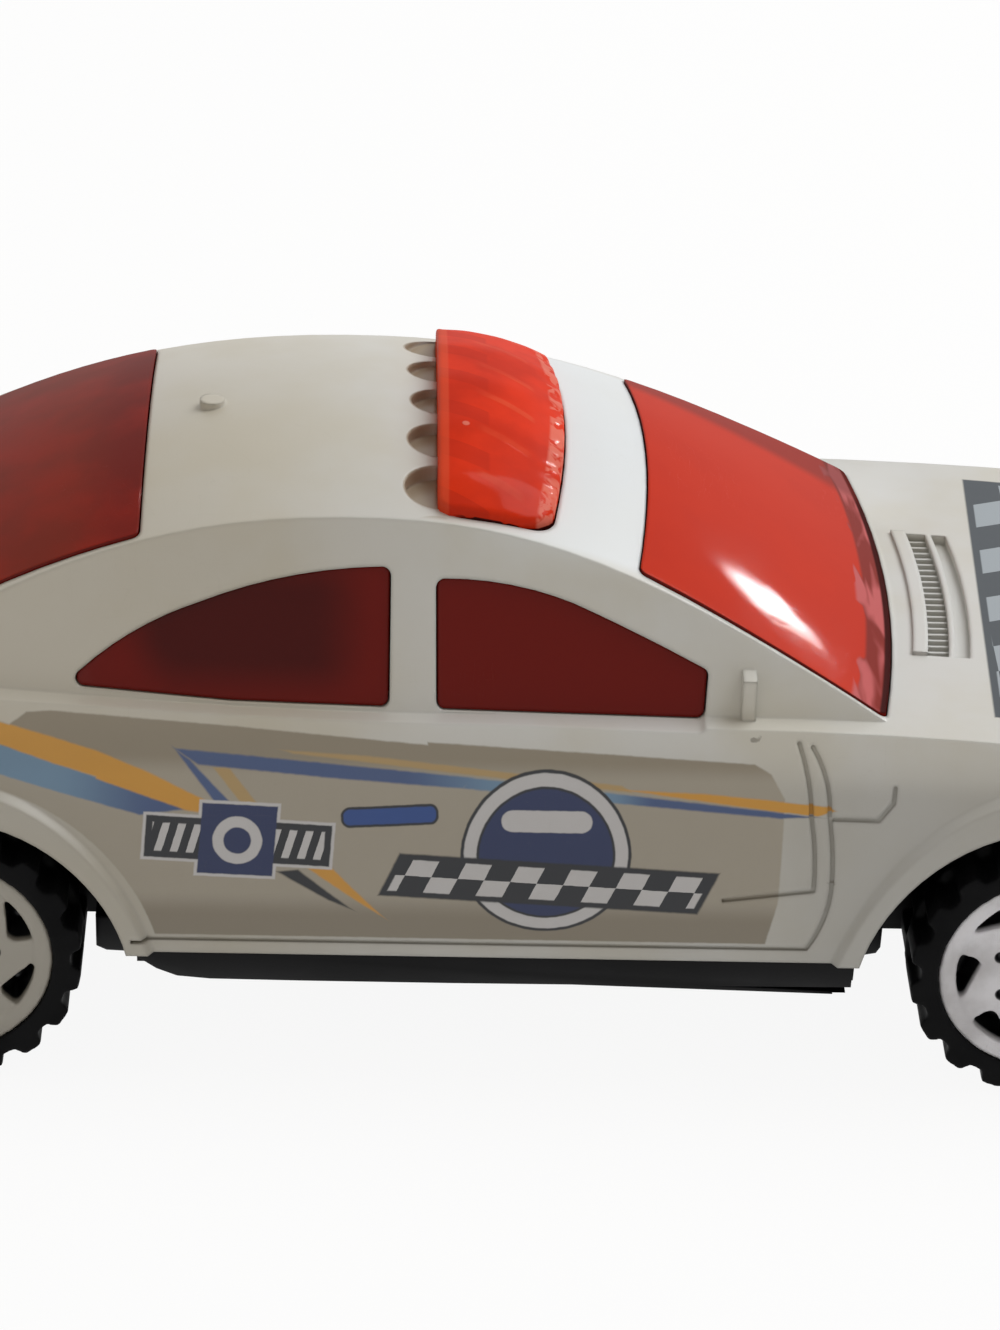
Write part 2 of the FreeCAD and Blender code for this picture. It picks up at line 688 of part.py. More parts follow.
def side_place(x_share, z_share, base, rise):
    """A point in side view, from shares of the half length and of a height."""
    x = middle.number + x_share * half_length.number
    return Vector(x, 0, base.number + z_share * rise.number)


def softened(face, radius):
    """A flat face with its outward corners rounded."""
    return face.makeOffset2D(-radius).makeOffset2D(radius)


def face_of(edges):
    return Part.Face(Part.Wire(Part.__sortEdges__(edges)))


def side_window(curve_shares, line_shares, shrink):
    """A side window right across the cabin: a smooth upper edge and straight lower edges."""
    belt = size("belt_height")
    rise = size("cabin_rise")
    top = [side_place(x, z, belt, rise) for x, z in curve_shares]
    foot = [side_place(x, z, belt, rise) for x, z in line_shares]
    corners = [top[-1]] + foot + [top[0]]
    edges = arcs(top) + [Part.makeLine(a, b) for a, b in zip(corners, corners[1:])]
    face = softened(face_of(edges), size("window_corner").number)
    if shrink:
        face = face.makeOffset2D(-shrink)
    reach = half_width.number
    face.translate(Vector(0, -reach, 0))
    return face.extrude(Vector(0, reach * 2, 0))


def screen_window(shares, shrink):
    """A windscreen or rear window in plan: two bowed ends and two leaning sides, cut upwards."""
    half = size("waist_width").number / 2
    (top_x, top_bow, top_y), (foot_x, foot_bow, foot_y) = shares
    ends = []
    for x_share, bow_share, y_share in ((top_x, top_bow, top_y), (foot_x, foot_bow, foot_y)):
        x = middle.number + x_share * half_length.number
        peak = Vector(x + bow_share * half_length.number, 0, 0)
        ends.append((Vector(x, -half * y_share, 0), peak, Vector(x, half * y_share, 0)))
    edges = []
    for left, peak, right in ends:
        bowed = abs(peak.x - left.x) > 0
        edges.append(Part.Arc(left, peak, right).toShape() if bowed else Part.makeLine(left, right))
    edges.append(Part.makeLine(ends[0][0], ends[1][0]))
    edges.append(Part.makeLine(ends[0][2], ends[1][2]))
    face = softened(face_of(edges), size("window_corner").number)
    if shrink:
        face = face.makeOffset2D(-shrink)
    face.translate(Vector(0, 0, size("belt_height").number - wall.number / 2 + shrink))
    return face.extrude(Vector(0, 0, size("cabin_rise").number + overrun.number))


def bar_plan(grow):
    """The light bar in plan: a straight back, a bowed front and rounded corners."""
    back = middle.number - size("bar_back_place").number
    half = size("bar_width").number / 2
    front = back + size("bar_length").number
    end = front - BAR_BOW_SHARE * size("bar_length").number
    edges = [Part.Arc(Vector(end, half, 0), Vector(front, 0, 0), Vector(end, -half, 0)).toShape(),
             Part.makeLine(Vector(back, -half, 0), Vector(back, half, 0)),
             Part.makeLine(Vector(back, half, 0), Vector(end, half, 0)),
             Part.makeLine(Vector(back, -half, 0), Vector(end, -half, 0))]
    face = softened(face_of(edges), size("bar_corner").number)
    if grow:
        face = face.makeOffset2D(grow)
    face.translate(Vector(0, 0, size("belt_height").number + size("cabin_rise").number / 2))
    return face.extrude(Vector(0, 0, size("cabin_rise").number))


def groove(shares, width):
    """A shut line in side view, as a thin wall right across the car."""
    points = [side_place(x, z, size("sill_height"), side_height) for x, z in shares]
    if len(points) > 2:
        strip = Part.Wire(arcs(points)).makeOffset2D(width / 2, fill=True, openResult=False)
    else:
        run = points[1] - points[0]
        aside = Vector(-run.z, 0, run.x).normalize() * (width / 2)
        corners = [points[0] + aside, points[1] + aside, points[1] - aside, points[0] - aside]
        strip = Part.Face(Part.makePolygon(corners + corners[:1]))
    strip.translate(Vector(0, -half_width.number - overrun.number, 0))
    return strip.extrude(Vector(0, (half_width.number + overrun.number) * 2, 0))


def end_panel(shares, side, direction):
    """A lamp or grille outline seen from the nose or the tail, on one side or across the middle."""
    points = []
    for y_share, z_share in shares:
        z = size("sill_height").number + z_share * side_height.number
        points.append(Vector(0, side * y_share * half_width.number, z))
    face = Part.Face(Part.makePolygon(points + points[:1]))
    face = softened(face, size("panel_corner").number)
    start = middle.number + direction * half_length.number * END_PANEL_START_SHARE
    face.translate(Vector(start, 0, 0))
    return face.extrude(Vector(direction * (half_length.number + overrun.number), 0, 0))


# The openings and shut lines. Window places are shares of the half length and the cabin's rise,
# shut lines and lamps are shares of the half length, the half width and the side's height.
REAR_WINDOW_SHARES = ([(-0.452, 0.09), (-0.40, 0.285), (-0.317, 0.472), (-0.22, 0.602), (-0.118, 0.650)],
                      [(-0.117, 0.018), (-0.28, 0.033), (-0.43, 0.078)])
FRONT_WINDOW_SHARES = ([(-0.072, 0.600), (0.0, 0.582), (0.07, 0.500), (0.14, 0.362), (0.211, 0.208)],
                       [(0.208, -0.015), (-0.069, 0.012)])
WINDSCREEN_SHARES = ((0.136, 0.016, 0.785), (0.396, 0.024, 0.972))
BACK_SCREEN_SHARES = ((-0.376, 0.0, 0.762), (-0.683, -0.014, 0.845))
BAR_BOW_SHARE = 0.14
BAR_TOP_SHARES = [(0.0, 0.74), (0.06, 0.92), (0.22, 1.0), (0.5, 0.94), (0.75, 0.74), (0.93, 0.47),
                  (1.04, 0.30)]
BAR_SPAN_SHARES = [(-1.02, 0.26), (-0.85, 0.74), (-0.45, 0.96), (0.0, 1.0), (0.45, 0.96),
                   (0.85, 0.74), (1.02, 0.26)]
DOOR_FRONT_SHARES = [(0.318, 0.945), (0.3325, 0.827), (0.337, 0.686), (0.342, 0.512), (0.3425, 0.36),
                     (0.3347, 0.20), (0.3208, 0.073)]
DOOR_INNER_SHARES = [(0.304, 0.957), (0.3115, 0.867), (0.3184, 0.676), (0.3237, 0.51), (0.324, 0.357)]
SILL_LINE_SHARES = [(-0.38, 0.073), (0.3208, 0.073)]
DOOR_CREASE_SHARES = [(0.23, 0.306), (0.324, 0.357)]
FENDER_LINE_SHARES = [(0.342, 0.668), (0.388, 0.665), (0.4025, 0.735), (0.404, 0.795)]
HEADLAMP_SHARES = [(0.44, 0.62), (0.60, 0.52), (0.90, 0.56), (0.88, 0.80), (0.50, 0.76)]
GRILLE_SLOT_SHARES = [(-0.36, 0.0), (0.36, 0.0), (0.38, 0.05), (-0.38, 0.05)]
GRILLE_ROW_SHARES = [0.50, 0.59, 0.68]
INTAKE_SHARES = [(-0.52, 0.10), (0.52, 0.10), (0.46, 0.28), (-0.46, 0.28)]
FOG_LAMP_SHARES = [(0.62, 0.12), (0.78, 0.14), (0.76, 0.27), (0.60, 0.25)]
TAIL_LAMP_SHARES = [(0.50, 0.66), (0.92, 0.62), (0.90, 0.86), (0.56, 0.88)]
PLATE_SHARES = [(-0.22, 0.50), (0.22, 0.50), (0.22, 0.68), (-0.22, 0.68)]
BUMPER_SLOT_SHARES = [(-0.70, 0.32), (0.70, 0.32), (0.70, 0.375), (-0.70, 0.375)]
END_PANEL_START_SHARE = 0.55
MIRROR_PLACE_SHARE = 0.245
SKIRT_START_SHARE = 0.15


# Body shell: the lower body and the cabin as one casting.
hull_outer = hull("hull_outer", none)
cabin_outer = cabin("cabin_outer", none)
hull_inner = hull("hull_inner", wall, plain=True)
cabin_inner = cabin("cabin_inner", wall, plain=True)
doc.recompute()

# Raised lips round the wheel openings: a leaning band of a slightly wider flank.
wheel_openings = []
lips = []
lip_flank = lengthways("lip_flank", half_width + size("lip_stand"), (-half_length, half_length), none,
                       size("flank_height"))
for end, x, radius in (("front", half_wheelbase, size("front_arch_radius")),
                       ("rear", -half_wheelbase, size("rear_arch_radius"))):
    for hand, side in (("right", -1), ("left", 1)):
        cone = doc.addObject("Part::Cone", "%s_%s_lip_form" % (end, hand))
        bind(cone, Radius1=radius + size("lip_width") * 1.6, Radius2=radius + size("lip_width") * 0.7,
             Height=wall + size("lip_stand"))
        turn = Rotation(Vector(1, 0, 0), -90 * side)
        place(cone, turn, x=x, y=(half_width - wall) * side, z=arch_height)
        lips.append(shared("%s_%s_lip" % (end, hand), [cone, lip_flank]))
        near = half_width - wall * 5
        reach = (near, half_width + overrun) if side > 0 else (-half_width - overrun, -near)
        opening = crossways("%s_%s_arch" % (end, hand), radius, x, reach, arch_height)
        wheel_openings.append(opening)

# Roof: a small nub, and five half-round recesses that open towards the light bar.
bar_back = middle - size("bar_back_place")
scallops = []
for index in range(size("scallop_count")):
    step = index - (size("scallop_count").number - 1) / 2
    outermost = (size("scallop_count").number - 1) / 2
    y = size("scallop_pitch") * step
    radius = size("scallop_radius") - size("scallop_step") * (outermost - abs(step))
    roof = height_at(cabin_outer.Shape, (bar_back - radius / 2).number, y.number)
    floor = Size(roof, "%.4f" % roof) - size("scallop_depth")
    scallops.append(upright("scallop_%d" % (index + 1), radius, bar_back, y, (floor, floor + overrun)))
nub_foot = height_at(cabin_outer.Shape, -size("nub_place").number, 0)
nub = upright("roof_nub", size("nub_radius"), middle - size("nub_place"), none,
              (Size(nub_foot, "%.4f" % nub_foot) - size("nub_radius"),
               Size(nub_foot, "%.4f" % nub_foot) + size("nub_radius") / 2))

# Door mirrors: thin upright stubs that stand out of the greenhouse sides, just ahead of the doors'
# windows.
mirror_x = middle + half_length * MIRROR_PLACE_SHARE
mirrors = []
for hand, side in (("right", -1), ("left", 1)):
    low = size("belt_height") - wall / 2
    y_in = size("waist_width") / 2 - wall
    y_out = size("waist_width") / 2 + size("mirror_stand") - size("mirror_height") / 8
    span = (y_in, y_out) if side > 0 else (-y_out, -y_in)
    mirrors.append(box("%s_mirror" % hand, (mirror_x, mirror_x + size("mirror_length")), span,
                       (low, low + size("mirror_height"))))

# Two posts inside the casting. Their thinner ends pass through the base and are spun over.
posts = []
post_ceiling = hull("post_ceiling", wall / 2, plain=True)
for end, x in (("front", half_wheelbase + size("post_reach")), ("rear", -half_wheelbase - size("post_reach"))):
    stem = upright("%s_post_stem" % end, size("post_radius"), x, none,
                   (size("base_top") + fit_gap, size("belt_height") * 2))
    posts.append(shared("%s_post" % end, [stem, post_ceiling]))
    head_low = size("base_bottom") + fit_gap
    posts.append(upright("%s_rivet" % end, size("rivet_radius"), x, none,
                         (head_low, size("base_top") + fit_gap * 2)))
    posts.append(upright("%s_rivet_head" % end, size("rivet_head_radius"), x, none,
                         (head_low, head_low + size("rivet_head_height"))))

# Bonnet vents: two bowed slots with a flat floor, the rear one ribbed, and a low raised band
# behind them.
vent_floor = size("belt_height") - size("vent_drop")
over_deck = size("belt_height") + wall
vent_half = size("vent_width") / 2


def vent_band(name, front, length, low):
    """A bowed band across the bonnet, with its front edge at a place along the car."""
    bend = size("vent_bend")
    outer = upright(name + "_front", bend, front - bend, none, (low, over_deck))
    inner = upright(name + "_back", bend, front - length - bend, none, (low, over_deck))
    strip = box(name + "_width", (front - length - bend / 10, front), (-vent_half, vent_half), (low, over_deck))
    return shared(name, [cut(name + "_ring", outer, inner), strip])


vent_front = middle + size("vent_front_place")
rib_front = vent_front - size("vent_slot") - size("vent_ridge")
hood_front = rib_front - size("vent_band")
vent_slot = vent_band("vent_slot", vent_front, size("vent_slot"), vent_floor)
vent_ribbed = vent_band("vent_ribbed", rib_front, size("vent_band"), vent_floor)
vent_hood = shared("vent_hood", [vent_band("vent_hood_band", hood_front, size("vent_hood"), vent_floor - wall / 4),
                                 hull("vent_hood_skin", -size("vent_hood_rise"))])
ribs = []
for index in range(size("vent_rib_count")):
    step = (index + 0.5) / size("vent_rib_count").number - 0.5
    y = size("vent_width") * step
    ribs.append(box("vent_rib_%d" % (index + 1), (hood_front - wall, rib_front),
                    (y - size("vent_rib") / 2, y + size("vent_rib") / 2),
                    (none, vent_floor + size("vent_rib_height"))))
vent_tools = [vent_slot, cut("vent_between_ribs", vent_ribbed, fused("vent_ribs", ribs))]

casting_outer = fused("casting_outer", [hull_outer, cabin_outer, vent_hood, nub] + lips + mirrors)
casting_inner = fused("casting_inner", [hull_inner, cabin_inner])
far = half_length * 2
below_sill = box("below_sill", (-far, far), (-far, far), (-far, size("sill_height")))

# Windows, screens and the slot of the light bar go right through the casting.
openings = [solid("rear_side_windows", side_window(*REAR_WINDOW_SHARES, 0)),
            solid("front_side_windows", side_window(*FRONT_WINDOW_SHARES, 0)),
            solid("windscreen_opening", screen_window(WINDSCREEN_SHARES, 0)),
            solid("back_screen_opening", screen_window(BACK_SCREEN_SHARES, 0)),
            solid("bar_slot", bar_plan(fit_gap.number))]

# Shut lines of the doors and sills, cut a little way into the flanks.
line_width = size("groove_width").number
shut_lines = [solid("shut_line_%d" % number, groove(shares, line_width)) for number, shares in enumerate(
    (DOOR_FRONT_SHARES, DOOR_INNER_SHARES, SILL_LINE_SHARES, DOOR_CREASE_SHARES, FENDER_LINE_SHARES), start=1)]
shut_floor = lengthways("shut_floor", half_width - size("groove_depth"), (-far, far), none,
                        size("flank_height"))
shut_tool = cut("shut_tool", fused("shut_walls", shut_lines), shut_floor)

# Lamps, grille, intake and number plate recesses of the nose and the tail.
panels = []
for name, shares, direction in (("headlamp", HEADLAMP_SHARES, 1), ("fog_lamp", FOG_LAMP_SHARES, 1),
                                ("tail_lamp", TAIL_LAMP_SHARES, -1)):
    for hand, side in (("right", -1), ("left", 1)):
        panels.append(solid("%s_%s" % (hand, name), end_panel(shares, side, direction)))
panels.append(solid("intake", end_panel(INTAKE_SHARES, 1, 1)))
panels.append(solid("plate_recess", end_panel(PLATE_SHARES, 1, -1)))
panels.append(solid("bumper_slot", end_panel(BUMPER_SLOT_SHARES, 1, -1)))
for number, row in enumerate(GRILLE_ROW_SHARES, start=1):
    shares = [(y, row + z) for y, z in GRILLE_SLOT_SHARES]
    panels.append(solid("grille_slot_%d" % number, end_panel(shares, 1, 1)))
panel_floor = hull("panel_floor", size("panel_depth"), plain=True)
panel_tool = cut("panel_tool", fused("panel_blocks", panels), panel_floor)

casting_scalloped = cut("casting_scalloped", casting_outer, fused("scallops", scallops))
casting_slotted = cut("casting_slotted", casting_scalloped, vent_tools[0])
casting_vented = cut("casting_vented", casting_slotted, vent_tools[1])
casting_lined = cut("casting_lined", casting_vented, shut_tool)
casting_marked = cut("casting_marked", casting_lined, panel_tool)
casting_hollow = cut("casting_hollow", casting_marked, fused("casting_voids", [casting_inner, below_sill]))
casting_arched = cut("casting_arched", casting_hollow, fused("all_arches", wheel_openings))
casting_body = casting_arched
for tool in openings:
    casting_body = cut("casting_with_" + tool.Name, casting_body, tool)
body_shell = fused("body_shell", [casting_body] + posts)
body_shell.Refine = True

# Window moulding: a hood under the roof whose pads fill the window openings, and the light bar
# that stands through the roof slot.
glass = size("glass_wall")
hood_outer = cabin("hood_outer", wall + fit_gap, plain=True)
hood_inner = cabin("hood_inner", wall + fit_gap + glass, plain=True)
below_rim = box("below_rim", (-far, far), (-far, far), (-far, rim_top))
hood = cut("hood", hood_outer, fused("hood_voids", [hood_inner, below_rim]))
pad_inner = cabin("pad_inner", wall + fit_gap + glass / 2, plain=True)
gap = fit_gap.number
side_pads = shared("side_pads", [
    fused("side_pad_blocks", [solid("rear_side_pads", side_window(*REAR_WINDOW_SHARES, gap)),
                              solid("front_side_pads", side_window(*FRONT_WINDOW_SHARES, gap))]),
    cabin("side_pad_skin", size("side_glass_recess"))])
screen_pads = shared("screen_pads", [
    fused("screen_pad_blocks", [solid("windscreen_pad", screen_window(WINDSCREEN_SHARES, gap)),
                                solid("back_screen_pad", screen_window(BACK_SCREEN_SHARES, gap))]),
    cabin("screen_pad_skin", -size("screen_stand"))])
pads = cut("pads", fused("all_pads", [side_pads, screen_pads]), pad_inner)


def bar_dome():
    """The light bar's rounded top: one profile along the car, lower towards both ends."""
    back = bar_back.number
    length = size("bar_length").number
    half = size("bar_width").number / 2
    foot = height_at(cabin_inner.Shape, back, 0) - half
    rails = []
    for y_share, rise_share in BAR_SPAN_SHARES:
        y = y_share * half
        points = []
        for x_share, top_share in BAR_TOP_SHARES:
            x = back + x_share * length
            roof = height_at(cabin_outer.Shape, x, max(-half, min(half, y)))
            points.append(Vector(x, y, roof + size("bar_rise").number * rise_share * top_share))
        base = [Vector(points[-1].x, y, foot), Vector(points[0].x, y, foot)]
        rails.append(Part.makePolygon(points + base + points[:1]))
    return Part.makeLoft(rails, True, True)


bar_core = cabin("bar_core", wall + fit_gap + glass / 2, plain=True)
light_bar = cut("light_bar", shared("bar_form", [solid("bar_plan", bar_plan(0)),
                                                 solid("bar_dome", bar_dome())]), bar_core)
window_insert = fused("window_insert", [hood, pads, light_bar])
window_insert.Refine = True

# Base: a plate that closes the sills, with a tray that sits inside the casting.
sill = size("sill_height")
plate_form = hull("plate_form", size("base_edge_inset"), plain=True)
tray_form = hull("tray_form", wall + fit_gap, plain=True)
split = sill - fit_gap


def side_block(name, corners, reach):
    """A block drawn in side view and padded both ways across the car."""
    body = new_body(name)
    sketch = outline(new_sketch(body, name + "_profile", "XZ_Plane"), corners)
    padded(body, name + "_pad", sketch, reach * 2, both_ways=True)
    return body


skirt_end = half_wheelbase - size("well_reach")
plate_side = side_block("plate_side", [
    (-far, size("base_bottom")), (skirt_end * SKIRT_START_SHARE, size("base_bottom") + size("skirt_step")),
    (skirt_end, size("base_bottom") - size("skirt_drop")), (skirt_end, size("base_bottom")),
    (far, size("base_bottom")), (far, split), (-far, split)], half_width)
plate = shared("plate", [plate_form, plate_side])
tray = shared("tray", [tray_form, box("tray_height", (-far, far), (-half_width, half_width),
                                      (split, size("base_top")))])
wells = []
for end, x in (("front", half_wheelbase), ("rear", -half_wheelbase)):
    for hand, side in (("right", -1), ("left", 1)):
        span = (base_half_width, half_width * 2) if side > 0 else (-half_width * 2, -base_half_width)
        wells.append(box("%s_%s_well" % (end, hand), (x - size("well_reach"), x + size("well_reach")), span,
                         (none, size("base_top") + overrun)))
housings = []
slots = []
for end, x in (("front", half_wheelbase), ("rear", -half_wheelbase)):
    reach = (-base_half_width, base_half_width)
    housings.append(crossways("%s_housing" % end, size("axle_housing_radius"), x, reach, axle_height))
    slots.append(crossways("%s_slot_round" % end, axle_slot_radius, x, (-half_width, half_width), axle_height))
    slots.append(box("%s_slot" % end, (x - axle_slot_radius, x + axle_slot_radius), (-half_width, half_width),
                     (axle_height, size("base_top") + overrun)))
rivet_holes = []
for end, x in (("front", half_wheelbase + size("post_reach")), ("rear", -half_wheelbase - size("post_reach"))):
    rivet_holes.append(upright("%s_rivet_hole" % end, size("rivet_radius") + fit_gap, x, none,
                               (none, size("base_top") + overrun)))
    rivet_holes.append(upright("%s_rivet_pocket" % end, size("rivet_head_radius") + fit_gap * 2, x, none,
                               (none, size("base_bottom") + size("rivet_head_height") + fit_gap * 2)))

# Relief of the underside: a silencer and its pipes, and the floor's stiffening beads.
relief = [box("silencer", (-size("silencer_place"), size("silencer_length") - size("silencer_place")),
              (-size("silencer_width") / 2, size("silencer_width") / 2),
              (size("base_bottom") - size("relief_height"), size("base_top") - wall))]
for hand, side in (("right", -1), ("left", 1)):
    relief.append(lengthways("%s_pipe" % hand, size("pipe_radius"),
                             (-half_wheelbase + size("axle_housing_radius"), -size("silencer_place")),
                             size("silencer_width") / 3 * side, size("base_bottom") + size("pipe_radius") / 3))
    relief.append(lengthways("%s_bead" % hand, size("pipe_radius"), (size("silencer_length"), skirt_end),
                             size("silencer_width") / 2 * side, size("base_bottom") + size("pipe_radius") / 2))
plate_blank = cut("plate_blank", fused("base_blank", [plate, tray] + housings + relief),
                  fused("base_wells", wells))
chassis = cut("chassis", plate_blank, fused("base_holes", slots + rivet_holes))

# Seat moulding: floor, sides and rim, two seats, a bench, a dashboard and a steering wheel. Its
# feet close the axle slots of the base.
floor_low = size("base_top") + fit_gap
tub_half = size("tub_width") / 2
tub_span = (-size("tub_back"), size("tub_front"))
side_wall = size("tub_wall")
tub_block = box("tub_block", tub_span, (-tub_half, tub_half), (floor_low, rim_top))
tub_space = box("tub_space", (side_wall - size("tub_back"), size("tub_front") - side_wall),
                (side_wall - tub_half, tub_half - side_wall), (floor_top, rim_top + overrun))
tub = cut("tub", tub_block, tub_space)
hang = size("rim_overhang")
rim_block = box("rim_block", (-size("tub_back") - hang, size("tub_front") + hang),
                (-tub_half - hang, tub_half + hang), (rim_top - side_wall, rim_top))
rim_space = box("rim_space", tub_span, (-tub_half, tub_half), (none, rim_top + overrun))
rim = cut("rim", rim_block, rim_space)

seat_low = floor_top - size("floor_wall") / 2


def seat(name, front, width, rise, y):
    """A cushion and a leaning backrest in one block."""
    height = floor_top + size("seat_height")
    top = height + rise
    depth = size("seat_depth")
    back = size("backrest_wall")
    corners = [(front, seat_low), (front, height), (front - depth, height - size("seat_round")),
               (front - depth - back, top), (front - depth - back * 2, top), (front - depth - back, seat_low)]
    block = side_block(name, corners, width / 2)
    return place(block, y=y)


front_seat = (size("front_seat_place"), size("seat_width"), size("backrest_rise"))
seats = [seat("driver_seat", *front_seat, size("seat_pitch") / 2),
         seat("passenger_seat", *front_seat, -size("seat_pitch") / 2),
         seat("bench", -size("bench_place"), size("bench_width"), size("bench_rise"), none)]
dash_top = floor_top + size("dash_height")
dash_front = size("tub_front") - side_wall / 2
dashboard = side_block("dashboard", [
    (dash_front, seat_low), (dash_front, rim_top), (dash_front - size("dash_length") / 2, dash_top),
    (dash_front - size("dash_length"), dash_top), (dash_front - size("dash_length") * 0.8, seat_low)],
    tub_half - side_wall / 2)
column_start = dash_front - size("dash_length")
column_height = dash_top - size("steering_wheel_radius")
column = lengthways("steering_column", size("steering_rim_radius"),
                    (column_start - size("column_length"), column_start + side_wall),
                    size("seat_pitch") / 2, column_height)
wheel_outer = lengthways("steering_wheel", size("steering_wheel_radius"),
                         (column_start - size("column_length"), column_start - size("column_length")
                          + size("steering_rim_radius") * 2), size("seat_pitch") / 2, column_height)
feet = []
for end, side in (("front", 1), ("rear", -1)):
    x = half_wheelbase * side
    start = size("tub_front") if side > 0 else -size("tub_back")
    reach = (start - side_wall * side, x + axle_slot_radius * 2 * side)
    reach = reach if side > 0 else (reach[1], reach[0])
    feet.append(box("%s_tongue" % end, reach, (-size("foot_width") / 2, size("foot_width") / 2),
                    (floor_low, floor_top)))
    feet.append(box("%s_foot" % end, (x - axle_slot_radius + fit_gap, x + axle_slot_radius - fit_gap),
                    (-size("foot_width") / 2, size("foot_width") / 2),
                    (axle_height + axle_slot_radius, floor_top)))
interior = fused("interior", [tub, rim, dashboard, column, wheel_outer] + seats + feet)

# Wheels and axles.
nodes = [body_shell, window_insert, interior, chassis]
for end, x in (("front", half_wheelbase), ("rear", -half_wheelbase)):
    nodes.append(make_axle(end + "_axle", x))
    for hand, side in (("left", 1), ("right", -1)):
        nodes.append(make_tyre("%s_%s_tyre" % (end, hand), x, side))
        nodes.append(make_hub("%s_%s_hub" % (end, hand), x, side))


def export(nodes):
    """Check every object, then write each piece to its own file."""
    doc.recompute()
    for thing in doc.Objects:
        if "Invalid" in thing.State or "Error" in thing.State:
            raise RuntimeError("%s could not be made: %s" % (thing.Name, thing.State))
    os.makedirs("parts", exist_ok=True)
    for node in nodes:
        if node.Shape.isNull() or not node.Shape.isValid():
            raise RuntimeError("%s has no sound shape" % node.Label)
        print(node.Label, "solids", len(node.Shape.Solids), "volume", round(node.Shape.Volume, 3))
        node.Shape.exportStep("parts/%s.step" % node.Label)


export(nodes)
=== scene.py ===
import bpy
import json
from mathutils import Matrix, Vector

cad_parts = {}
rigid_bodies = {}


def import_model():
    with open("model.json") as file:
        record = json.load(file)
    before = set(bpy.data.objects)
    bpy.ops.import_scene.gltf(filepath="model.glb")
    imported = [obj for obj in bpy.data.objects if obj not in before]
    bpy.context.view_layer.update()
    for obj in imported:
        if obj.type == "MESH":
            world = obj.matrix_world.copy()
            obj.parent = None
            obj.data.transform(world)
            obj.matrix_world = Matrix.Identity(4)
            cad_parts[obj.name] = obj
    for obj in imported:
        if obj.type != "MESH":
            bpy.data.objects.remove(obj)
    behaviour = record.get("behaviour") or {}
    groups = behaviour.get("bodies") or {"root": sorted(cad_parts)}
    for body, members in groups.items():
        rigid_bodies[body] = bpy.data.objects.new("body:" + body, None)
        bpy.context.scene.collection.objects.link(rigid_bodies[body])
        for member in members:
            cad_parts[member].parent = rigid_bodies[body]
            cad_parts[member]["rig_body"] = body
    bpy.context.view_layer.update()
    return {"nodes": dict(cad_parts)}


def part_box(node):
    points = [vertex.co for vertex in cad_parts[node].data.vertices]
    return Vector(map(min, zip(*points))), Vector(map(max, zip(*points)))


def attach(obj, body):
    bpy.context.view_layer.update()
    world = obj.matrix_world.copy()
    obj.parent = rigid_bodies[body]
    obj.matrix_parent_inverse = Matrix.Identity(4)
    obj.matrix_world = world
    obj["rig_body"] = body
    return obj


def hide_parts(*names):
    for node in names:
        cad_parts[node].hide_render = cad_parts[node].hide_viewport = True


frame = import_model()

import json
import math

import bmesh
import bpy
from bpy.props import FloatProperty, FloatVectorProperty, PointerProperty
from mathutils import Matrix, Vector
from mathutils.bvhtree import BVHTree

bl_info = {
    "name": "Toy police car",
    "version": (1, 0, 0),
    "blender": (4, 5, 0),
    "location": "View3D > Sidebar > Toy car",
    "description": "Dresses a small die-cast police car: enamel, print, clear red moulding and wheels",
    "category": "Object",
}

MM = 0.001


def tint(code):
    """A screen colour such as C8321A as the linear colour that shaders take."""
    parts = [int(code[place:place + 2], 16) / 255 for place in (0, 2, 4)]
    shades = [part / 12.92 if part <= 0.04045 else ((part + 0.055) / 1.055) ** 2.4 for part in parts]
    return (*shades, 1.0)


def paint_property(name, description, code):
    return FloatVectorProperty(name=name, description=description, default=tint(code), size=4,
                               min=0.0, max=1.0, subtype="COLOR")


def length_property(name, description, millimetres):
    return FloatProperty(name=name, description=description, default=millimetres * MM, min=0.0,
                         subtype="DISTANCE", unit="LENGTH", precision=6)


